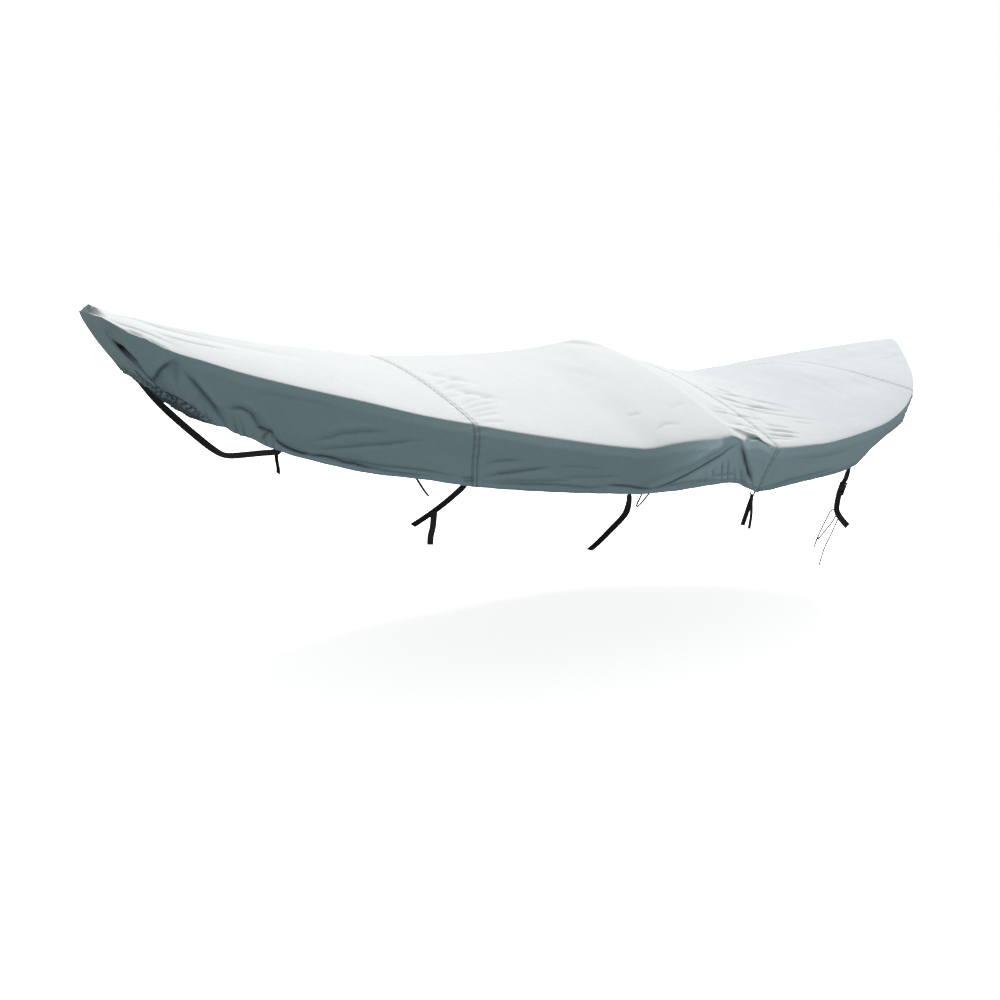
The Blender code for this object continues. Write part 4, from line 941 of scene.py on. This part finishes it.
def buildPanel(name, lo, hi, number, paints):
    x = stationsOf(lo, hi, number > 0, number < 3)
    points, height, maps = clothGrid(x, number == 0)
    normals = gridNormals(points)
    outer = points + normals * height[..., None]
    shownNormals = gridNormals(outer)
    # a hair's gap at each seam, and stitched lines there and along the hem
    for seamed, end, inward in ((number > 0, 0, 1), (number < 3, -1, -1)):
        if seamed:
            outer[end, :, 0] += inward * webbing["gap"] / 2
            row = end + inward * seamStitchRow
            stitchLines.append((f"seam{number}", outer[row], shownNormals[row]))
    for line in hemStitchRows:
        for column in (line, -1 - line):
            stitchLines.append((f"hem{number}", outer[:, column], shownNormals[:, column]))
    grids, faces = [(outer, normals, *maps)], quads(*points.shape[:2])
    if number == 0:
        wall, wallMaps = sternWall(outer, x)
        grids.append((wall, gridNormals(wall), *wallMaps))
        faces = np.vstack([faces, quads(*wall.shape[:2], outer[..., 0].size)])
    points, normals, *maps = [np.vstack([v.reshape(-1, v.shape[-1]) for v in same]) for same in zip(*grids)]
    # weld the points that lie on one another, and drop faces that have closed up
    _, first, same = np.unique(np.round(points, 6), axis=0, return_index=True, return_inverse=True)
    points, normals, *maps = [v[first] for v in (points, normals, *maps)]
    faces = same.ravel()[faces]
    good = np.array([len(set(f)) == 4 for f in faces])
    rings = [list(f) for f in faces[good]]
    for f in faces[~good]:
        ring = [v for k, v in enumerate(f) if v != f[k - 1]]
        if len(set(ring)) == 3 and len(ring) == 3:
            rings.append(ring)
    # smooth normals from the faces, so that the inner side follows every fold
    work, whole = np.zeros_like(points), faces[good]
    p = points[whole]
    for c in range(4):
        np.add.at(work, whole[:, c], np.cross(p[:, 2] - p[:, 0], p[:, 3] - p[:, 1]))
    lengths = np.linalg.norm(work, axis=1, keepdims=True)
    work = np.where(lengths > 1e-12, work / np.maximum(lengths, 1e-12), normals)
    count = len(points)
    edges = dict.fromkeys((ring[k - 1], ring[k]) for ring in rings for k in range(len(ring)))
    rim = [[b, a, a + count, b + count] for a, b in edges if (b, a) not in edges]
    solid = rings + [[v + count for v in reversed(ring)] for ring in rings] + rim
    size, trim, folds = maps
    made = newPiece(name, np.vstack([points, points - work * coverShape["sheet"]]), solid, paints,
                    {"size": np.vstack([size, size]), "trim": np.vstack([trim, trim]),
                     "folds": np.vstack([folds, 0 * folds])})
    which = np.zeros(len(solid), int)
    which[len(rings):2 * len(rings)] = 1
    made.data.polygons.foreach_set("material_index", which)
    made.data.set_sharp_from_angle(angle=np.radians(coverShape["sharp"]))
    return made


# The top's colour is painted light: a face takes it as it looks up, between the two heights of its normal
# given for that, and the skirt keeps the cloth's colour in shade. Then x where the painted lit top dulls, and
# palerFrom: x where the skirt turns paler, towards the bow. turned is painted shade on cloth turned from the
# light, the darkest colour is painted shade deep in the creases, and the seam colour is dirt along the
# stitches with painted shade at the lap's lip.
# The shares say how strongly each tint shows.
clothLook = {"shade": (0.285, 0.395, 0.405), "paintedLitTop": (0.365, 0.373, 0.375),
             "paintedLitTopFore": (0.308, 0.322, 0.331), "shadeFore": (0.415, 0.555, 0.600),
             "dust": (0.42, 0.43, 0.42), "hemBand": (0.310, 0.430, 0.505), "seamDirtAndLipShade": (0.10, 0.12, 0.125),
             "foldShade": (0.012, 0.015, 0.017), "turned": (0.085, 0.118, 0.122), "inside": (0.36, 0.38, 0.38),
             "paintedLightUp": (0.18, 0.62), "litTopForeFrom": (0.15, 1.00), "palerFrom": (-0.55, -0.10),
             "fadeShare": 0.35, "dustShare": 0.16, "bandShare": 0.75, "coreShare": 0.90,
             "broad": 1.3, "grain": 60.0, "rough": 0.82, "sheen": 0.08, "gloss": 0.25, "threads": 900.0,
             "bump": (0.22, 0.0004)}


def lineAt(tree, distance, spot, wide, soft):
    # 1 within soft of a line at spot, 0 beyond wide
    off = maths(tree, "ABSOLUTE", maths(tree, "SUBTRACT", distance, spot))
    return spread(tree, times(tree, off, -1.0), -wide, -soft)


def outerColour(tree, look, worn, size):
    folds, trim = apart(tree, uvMap(tree, "folds")), apart(tree, uvMap(tree, "trim"))
    up = apart(tree, node(tree, "ShaderNodeNewGeometry").outputs["Normal"])[2]
    along = apart(tree, size)[0]
    tone = blendColour(tree, times(tree, worn["Fade"], look["fadeShare"]), look["shade"], look["hemBand"])
    tone = blendColour(tree, spread(tree, along, *look["palerFrom"]), tone, look["shadeFore"])
    # painted light: faces that look up take the lighter top colour, and the skirt keeps the colour of the
    # cloth in shade
    top = blendColour(tree, spread(tree, along, *look["litTopForeFrom"]), look["paintedLitTop"], look["paintedLitTopFore"])
    colour = blendColour(tree, spread(tree, up, *look["paintedLightUp"]), tone, top)
    # painted shade where cloth at the dart and at the stern's peak is turned from the light
    colour = blendColour(tree, folds[1], colour, look["turned"])
    colour = blendColour(tree, times(tree, worn["Dust"], look["dustShare"]), colour, look["dust"])
    edge = coverShape["hem"]
    band = spread(tree, times(tree, trim[1], -1.0), -edge - 0.0012, -edge + 0.0005)
    colour = blendColour(tree, times(tree, band, look["bandShare"]), colour, look["hemBand"])
    # dirt along the stitches and painted shade at the lap's lip, then painted shade deep in the folds
    distance = maths(tree, "ABSOLUTE", trim[0])
    stitched = lineAt(tree, distance, coverShape["stitchIn"], 0.0030, 0.0008)
    # the stitch lines get dirt, and the lap's lip gets painted shade
    lip = lineAt(tree, distance, coverShape["lap"] / 2 + 0.0006, 0.0022, 0.0004)
    stitchDirtAndLipShade = times(tree, maths(tree, "MAXIMUM", stitched, lip), timesPlus(tree, worn["Grain"], 0.8, 0.15))
    colour = blendColour(tree, stitchDirtAndLipShade, colour, look["seamDirtAndLipShade"])
    core = maths(tree, "MULTIPLY", folds[0], look["coreShare"], clamp=True)
    return blendColour(tree, core, colour, look["foldShade"])


def clothMaterial(name, look, inside=False):
    paint, tree, worn = newPaint(name, look["grain"], look["broad"])
    size = uvMap(tree, "size")
    weave = place(tree, plainWeave, Vector=size, Threads=look["threads"])
    if inside:
        colour = blendColour(tree, worn["Fade"], look["inside"], look["shade"])
    else:
        colour = outerColour(tree, look, worn, size)
    grain = timesPlus(tree, worn["Grain"], 0.16, 0.92)
    grey = node(tree, "ShaderNodeCombineXYZ", {0: grain, 1: grain, 2: grain}).outputs[0]
    colour = node(tree, "ShaderNodeVectorMath", {0: colour, 1: grey}, operation="MULTIPLY").outputs[0]
    shader = tree.nodes["Principled BSDF"].inputs
    shader["Sheen Weight"].default_value = look["sheen"]
    shader["Specular IOR Level"].default_value = look["gloss"]
    rough = timesPlus(tree, worn["Grain"], 0.12, look["rough"] - 0.06)
    relief = timesPlus(tree, worn["Grain"], 0.5, weave["Height"])
    return finishPaint(paint, colour, rough, look["bump"], relief)


clothPaints = clothMaterial("coatedCloth", clothLook), clothMaterial("coatedClothInside", clothLook, True)
panelPlan = [
    # piece, node, flat size it was cut to before sewing (width across, length fore and aft)
    ("sternCloth", "stern_panel", (1.93, 1.22)),
    ("aftCloth", "aft_panel", (2.50, 1.56)),
    ("forwardCloth", "forward_panel", (2.45, 1.50)),
    ("bowCloth", "bow_panel", (1.95, 1.00)),
]
cuts = (coverShape["sternEnd"],) + coverShape["seams"] + (coverShape["bowEnd"],)
clothMeshes = []
for number, (name, replaced, flatSize) in enumerate(panelPlan):
    made = buildPanel(name, cuts[number], cuts[number + 1], number, clothPaints)
    clothMeshes.append(made.data)
    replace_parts(made, replaced)
print("cloth ready")

# the thread of the seams and of the hem
# rings: where along a stitch, how thick there, how far out of the groove
threadLook = {"pitch": 0.0078, "long": 0.0056, "thick": 0.00042, "colour": (0.085, 0.100, 0.105),
              "pale": 1.9, "rough": 0.6, "grain": 300.0, "bump": (0.4, 0.0002),
              "rings": ((-0.5, 0.35, -0.0003), (-0.32, 1.0, 0.0001),
                        (0.32, 1.0, 0.0001), (0.5, 0.35, -0.0003))}


def sewThread(name, lines, look, paint):
    # one small stitch after another along each line, lying in its groove
    across = np.array([(1, 0), (0, 1), (-1, 0), (0, -1)], float)
    points, faces, cell = [], [], tubeFaces(4, 4)
    for path, normals in lines:
        far = distances(path)
        if far[-1] < 0.02:
            continue
        marks = np.arange(look["pitch"] * 0.7, far[-1] - look["pitch"] * 0.5, look["pitch"])
        before, spot, after = (resampled(path, far, marks + shift) for shift in (-0.002, 0.0, 0.002))
        up = resampled(normals, far, marks)
        way = (after - before) / np.maximum(np.linalg.norm(after - before, axis=1, keepdims=True), 1e-9)
        up = up - way * (up * way).sum(1, keepdims=True)
        up /= np.maximum(np.linalg.norm(up, axis=1, keepdims=True), 1e-9)
        side = np.cross(way, up)
        for k in range(len(marks)):
            faces += [tuple(len(points) + v for v in face) for face in cell]
            for reach, size, sink in look["rings"]:
                centre = spot[k] + way[k] * reach * look["long"] + up[k] * sink
                for u, v in across:
                    points.append(centre + (side[k] * u + up[k] * v * 0.8) * look["thick"] * size)
    return newPiece(name, points, faces, [paint])


def threadMaterial(look):
    paint, tree, worn = newPaint("sewingThread", look["grain"])
    colour = blendColour(tree, worn["Grain"], look["colour"], tuple(c * look["pale"] for c in look["colour"]))
    return finishPaint(paint, colour, look["rough"], look["bump"], worn["Grain"])


threadFinish = threadMaterial(threadLook)
for title, wanted in (("seamThread", "seam"), ("hemThread", "hem")):
    lines = [(p, n) for name, p, n in stitchLines if name.startswith(wanted)]
    made = sewThread(title, lines, threadLook, threadFinish)
    print("thread", title, len(made.data.polygons))

# the ties of flat webbing, sewn inside the hem
webbingLook = {"dark": (0.009, 0.009, 0.011), "worn": (0.045, 0.047, 0.052), "rough": 0.72, "rows": 560.0,
               "grain": 180.0, "bump": (0.55, 0.0004)}
starboard, aft = (0.0, -1.0, 0.0), (-1.0, 0.0, 0.0)
loopOut = -0.8735                    # the front loop's place across, which the two front ties lap over
lapOver = webbing["thick"] + webbing["gap"]
# sewn: where an end is sewn, and the heights of the stitching. out: the way out through the cloth.
tiePlan = [
    {"name": "sternTie", "node": "stern_tie", "wide": 0.028, "face": (-0.30, -0.90, -0.20),
     "first": (-0.80, 0.0, -0.57), "sewn": {"at": (-2.25, 0.075), "levels": (1.236, 1.224), "out": aft},
     "sewnLast": {"at": (-1.862, -0.44), "levels": (0.995, 1.007)}, "points": [
         (-2.226, 0.075, 1.206), (-2.202, 0.075, 1.181), (-2.151, 0.070, 1.129), (-2.093, 0.060, 1.073),
         (-2.038, 0.045, 1.022), (-1.985, 0.015, 0.973), (-1.953, -0.025, 0.942), (-1.936, -0.085, 0.926),
         (-1.925, -0.145, 0.926), (-1.903, -0.240, 0.943), (-1.884, -0.335, 0.962), (-1.871, -0.402, 0.974),
         (-1.864, -0.425, 0.980)]},
    {"name": "rearTie", "node": "rear_tie", "wide": 0.026, "face": (-0.30, -0.85, -0.35), "both": True,
     "sewn": {"at": (-1.272, -0.75), "levels": (0.889, 0.876)}, "points": [
         (-1.274, -0.745, 0.862), (-1.296, -0.733, 0.838), (-1.327, -0.700, 0.796),
         (-1.349, -0.650, 0.753), (-1.363, -0.600, 0.717), (-1.374, -0.575, 0.698)]},
    {"name": "middleTie", "node": "middle_tie", "wide": 0.029, "face": (-0.40, -0.80, -0.35), "both": True,
     "sewn": {"at": (-0.563, -0.88), "levels": (0.826, 0.813)}, "points": [
         (-0.562, -0.878, 0.799), (-0.544, -0.860, 0.764), (-0.524, -0.820, 0.706),
         (-0.526, -0.740, 0.624), (-0.515, -0.650, 0.547), (-0.508, -0.605, 0.514)]},
    {"name": "middleLoop", "node": "middle_loop", "wide": 0.009, "face": (-0.20, -0.80, -0.40),
     "last": starboard, "sewn": {"at": (-0.499, -0.88), "levels": (0.822, 0.810)},
     "sewnLast": {"at": (-0.455, -0.88), "levels": (0.810, 0.822)}, "points": [
         (-0.498, -0.884, 0.797), (-0.496, -0.867, 0.768), (-0.493, -0.850, 0.742),
         (-0.479, -0.850, 0.742), (-0.468, -0.867, 0.768), (-0.456, -0.884, 0.797)]},
    {"name": "frontLoop", "node": "front_loop", "wide": 0.010, "face": starboard, "first": None,
     "sewn": {"at": (0.178, -0.88), "levels": (0.780, 0.769)},
     "sewnLast": {"at": (0.211, -0.88), "levels": (0.765, 0.776)}, "points": [
         (0.178, loopOut, 0.748), (0.184, loopOut, 0.734), (0.192, loopOut, 0.729),
         (0.200, loopOut, 0.734), (0.210, loopOut, 0.748)]},
    {"name": "frontTie", "node": "front_tie", "wide": 0.024, "face": (-0.30, -0.92, -0.20), "points": [
        (0.187, loopOut - lapOver, 0.738), (0.184, loopOut - lapOver, 0.722), (0.176, -0.871, 0.692),
        (0.168, -0.864, 0.655), (0.159, -0.851, 0.600)]},
    {"name": "frontTieTail", "node": "front_tie_tail", "wide": 0.015, "face": (-0.30, -0.95, 0.0), "points": [
        (0.188, loopOut - 2 * lapOver, 0.737), (0.183, loopOut - 2 * lapOver, 0.723), (0.177, -0.881, 0.700),
        (0.169, -0.888, 0.650), (0.160, -0.886, 0.592)]},
]


def clothTree():
    # the four panels as one surface that rays can be cast at
    points, faces = [], []
    for mesh in clothMeshes:
        start = len(points)
        points += [v.co.copy() for v in mesh.vertices]
        faces += [[start + v for v in face.vertices] for face in mesh.polygons]
    return BVHTree.FromPolygons(points, faces)


clothSurface = clothTree()


def sewnEnd(at, out, levels, wide, run):
    # two stations flat against the inner face of the hem, clear of its innermost fold
    out = unit(out)
    across = np.cross(out, run)
    beyond = 0.0025 * np.sign(levels[0] - levels[1])
    rows = []
    for z in np.linspace(levels[0] + beyond, levels[1] - beyond, 7):
        row = []
        for e in np.linspace(-0.6, 0.6, 9):
            origin = np.array((at[0], at[1], z)) + across * e * wide - out * 0.25 - holdPoint
            row.append(np.array(clothSurface.ray_cast(Vector(origin), Vector(out))[0]) + holdPoint)
        rows.append(row)
    spots = np.array(rows).reshape(-1, 3)
    flat = np.linalg.svd(spots - spots.mean(axis=0))[2][2]
    flat = flat * (1 if flat @ out > 0 else -1)
    level = (spots @ flat).min() - 1.3 * webbing["gap"] - webbing["thick"] / 2
    side = unit(across - flat * (across @ flat)) * wide / 2
    centres = [np.mean(row, axis=0) for row in (rows[1], rows[-2])]
    centres = [centre + flat * (level - centre @ flat) for centre in centres]
    return [(centre - side, centre + side, flat) for centre in centres]


def layWebbing(name, stations, foldEnd=0.0):
    # flat webbing with rolled edges through its stations; foldEnd: its end is turned back and sewn
    left, right, flat = (curveThrough([s[k] for s in stations], webbing["parts"]) for k in range(3))
    middle, thick = (left + right) / 2, webbing["thick"]
    far = distances(middle)
    corners, flats = np.linspace(-np.pi / 2, np.pi / 2, webbing["round"]), np.linspace(0.9, -0.9, 7)
    profile = [(1, np.cos(a), np.sin(a)) for a in corners] + [(s, 0.0, 1.0) for s in flats]
    profile += [(-1, -np.cos(a), np.sin(a)) for a in corners[::-1]] + [(s, 0.0, -1.0) for s in flats[::-1]]
    points, sizes = [], []
    for k, centre in enumerate(middle):
        side, up = unit(right[k] - left[k]), unit(flat[k])
        half = np.linalg.norm(right[k] - left[k]) / 2 - thick / 2
        melted = 1 - 0.10 * np.exp(-((far[-1] - far[k]) / 0.003)**2)
        share = held((far[k] - (far[-1] - foldEnd)) / 0.002) if foldEnd else 0.0
        deep, lift = thick * (1 + share), thick / 2 * share
        for s, o, f in profile:
            points.append(centre + side * (s * half * melted + o * deep / 2) + up * (f * deep / 2 + lift))
            sizes.append((s * half + o * thick / 2, far[k]))
    laidTies[name] = stations
    faces = tubeFaces(len(middle), len(profile))
    return newPiece(name, points, faces, [webbingFinish], {"size": sizes})


def webbingMaterial(look):
    paint, tree, worn = newPaint("blackWebbing", look["grain"])
    ribs = place(tree, webbingRibs, Vector=uvMap(tree, "size"), Rows=look["rows"])
    wear = times(tree, timesPlus(tree, ribs["Edge"], 0.55, 0.18), worn["Grain"])
    wear = timesPlus(tree, worn["Dust"], 0.12, wear, clamp=True)
    colour = blendColour(tree, wear, look["dark"], look["worn"])
    rough = timesPlus(tree, worn["Grain"], 0.14, look["rough"] - 0.07)
    return finishPaint(paint, colour, rough, look["bump"], ribs["Height"])


webbingFinish = webbingMaterial(webbingLook)
for tie in tiePlan:
    for port in ((False, True) if tie.get("both") else (False,)):
        turn = np.array((1.0, -1.0 if port else 1.0, 1.0))
        ways = [tie["face"], tie.get("first", starboard), tie.get("last")]
        face, first, last = [None if way is None else np.array(way) * turn for way in ways]
        path = smoothRun(np.array(tie["points"]) * turn, webbing["knotStep"])
        stations = freeRun(path, face, tie["wide"], first, last)
        for key, run in (("sewn", down), ("sewnLast", -down)):
            if key in tie:
                end = tie[key]
                out = np.array(end.get("out", starboard)) * turn
                ending = sewnEnd(np.array(end["at"]) * turn[:2], out, end["levels"], tie["wide"], run)
                stations = ending + stations if key == "sewn" else stations + ending
        made = layWebbing(tie["name"] + ("Port" if port else ""), stations)
        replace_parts(made, tie["node"] + ("_port" if port else ""))

# the second free end of the rear tie hangs from its outer face
rearTail = {"share": 0.60, "wide": 0.025, "lap": 0.012, "face": (-0.30, -0.95, 0.0),
            "points": [(-1.360, -0.688, 0.716), (-1.369, -0.691, 0.692), (-1.371, -0.691, 0.652)]}
spot, flat, _ = midway("rearTie", rearTail["share"])
stations = lapped(spot + flat * lapOver, flat, down, rearTail["lap"], rearTail["wide"])
path = smoothRun(rearTail["points"], webbing["knotStep"])
made = layWebbing("rearTieTail", stations + freeRun(path, rearTail["face"], rearTail["wide"], None, None))
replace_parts(made, "rear_tie_tail")

# the bow tie runs from the hem into its buckle, and its free end leaves the lower slot
bowTie = {"at": (0.980, -0.82), "levels": (0.814, 0.803), "step": 0.020, "tailFold": 0.020,
          "points": [(0.980, -0.817, 0.786), (0.978, -0.808, 0.757), (0.971, -0.8035, 0.730)]}
wide = buckleShape["tieWide"]
stations = sewnEnd(bowTie["at"], starboard, bowTie["levels"], wide, down)
stations += freeRun(smoothRun(bowTie["points"], bowTie["step"]), facing, wide, starboard, None)
stations += lapped(behind + away * buckleShape["tieAt"], facing, away, buckleShape["tieLap"], wide)
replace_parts(layWebbing("bowTie", stations), "bow_tie")
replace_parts(layWebbing("bowTieTail", laidTies["bowTieTail"], foldEnd=bowTie["tailFold"]), "bow_tie_tail")
print("ties ready")


def bowBucklePiece(shape, paint):
    # a flat two-slot plate: the cells between the cuts, its slots open, its edges rounded
    across = np.cross(facing, away)
    rows, columns = len(shape["long"]) - 1, len(shape["wide"]) - 1
    cells = {(i, j) for i in range(rows) for j in range(columns)} - set(shape["slots"])
    points, faces, index = [], [], {}

    def corner(i, j, side):
        if (i, j, side) not in index:
            index[(i, j, side)] = len(points)
            points.append(shape["centre"] + away * shape["long"][i] + across * shape["wide"][j]
                          + facing * side * shape["thick"] / 2)
        return index[(i, j, side)]

    for i, j in sorted(cells):
        ring = [(i, j), (i + 1, j), (i + 1, j + 1), (i, j + 1)]
        for side in (-1, 1):
            faces.append([corner(a, b, side) for a, b in ring[::side]])
        for k, (di, dj) in enumerate(((0, -1), (1, 0), (0, 1), (-1, 0))):
            if (i + di, j + dj) not in cells:
                a, b = ring[k], ring[(k + 1) % 4]
                faces.append([corner(*a, -1), corner(*b, -1), corner(*b, 1), corner(*a, 1)])
    made = newPiece("bowBuckle", points, faces, [paint], smooth=False)
    rounded = made.modifiers.new("rounded", "BEVEL")
    rounded.width, rounded.segments, rounded.limit_method = shape["bevel"], 3, "ANGLE"
    shaped = bpy.data.meshes.new_from_object(made.evaluated_get(bpy.context.evaluated_depsgraph_get()))
    made.modifiers.clear()
    made.data = shaped
    return made


buckleLook = {"dark": (0.008, 0.008, 0.009), "worn": (0.035, 0.035, 0.038), "rough": 0.42, "grain": 420.0,
              "bump": (0.25, 0.0003)}


def buckleMaterial(look):
    paint, tree, worn = newPaint("mouldedBuckle", look["grain"])
    rough = timesPlus(tree, worn["Grain"], 0.25, look["rough"] - 0.12)
    colour = blendColour(tree, worn["Dust"], look["dark"], look["worn"])
    return finishPaint(paint, colour, rough, look["bump"], worn["Grain"])


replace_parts(bowBucklePiece(buckleShape, buckleMaterial(buckleLook)), "bow_buckle")
print("buckle ready")

# pale floor, soft overhead light
studio = {"floor": 80.0, "floorSeen": (0.80, 0.80, 0.80), "floorBounce": (0.13, 0.14, 0.14),
          "floorGlow": 0.78, "sun": 6.95, "sunSize": 36.0, "sunFrom": (0.50, 0.30, 1.0), "sky": 0.47,
          "skyTint": (0.93, 0.98, 1.0)}


def makeStudio(setup):
    half, ground = setup["floor"], -holdPoint[2]
    mesh = bpy.data.meshes.new("paleFloor")
    corners = [(x * half, y * half, ground) for x, y in ((-1, -1), (1, -1), (1, 1), (-1, 1))]
    mesh.from_pydata(corners, [], [(0, 1, 2, 3)])
    floor = bpy.data.objects.new("paleFloor", mesh)
    bpy.context.scene.collection.objects.link(floor)
    paint = bpy.data.materials.new("paleFloor")
    paint.use_nodes = True
    tree = paint.node_tree
    shader = tree.nodes["Principled BSDF"].inputs
    seen = node(tree, "ShaderNodeLightPath").outputs["Is Camera Ray"]
    feed(tree, shader["Base Color"], blendColour(tree, seen, setup["floorBounce"], setup["floorSeen"]))
    feed(tree, shader["Emission Strength"], times(tree, seen, setup["floorGlow"]))
    feed(tree, shader["Emission Color"], (1.0, 1.0, 1.0, 1.0))
    feed(tree, shader["Roughness"], 0.95)
    feed(tree, shader["Specular IOR Level"], 0.0)
    mesh.materials.append(paint)
    world = bpy.data.worlds.new("softStudio")
    world.use_nodes = True
    tree = world.node_tree
    back = tree.nodes["Background"].inputs
    seen = node(tree, "ShaderNodeLightPath").outputs["Is Camera Ray"]
    feed(tree, back["Color"], blendColour(tree, seen, setup["skyTint"], (1.0, 1.0, 1.0)))
    feed(tree, back["Strength"], timesPlus(tree, seen, 1.0 - setup["sky"], setup["sky"]))
    bpy.context.scene.world = world
    lamp = bpy.data.lights.new("overheadSoftLight", "SUN")
    lamp.energy, lamp.angle = setup["sun"], np.radians(setup["sunSize"])
    lampObject = bpy.data.objects.new("overheadSoftLight", lamp)
    bpy.context.scene.collection.objects.link(lampObject)
    lampObject.location = (0.0, 0.0, 4.0)
    lampObject.rotation_euler = Vector(setup["sunFrom"]).to_track_quat("Z", "Y").to_euler()
    bpy.context.scene.view_settings.view_transform = "Standard"


makeStudio(studio)
print("studio ready")
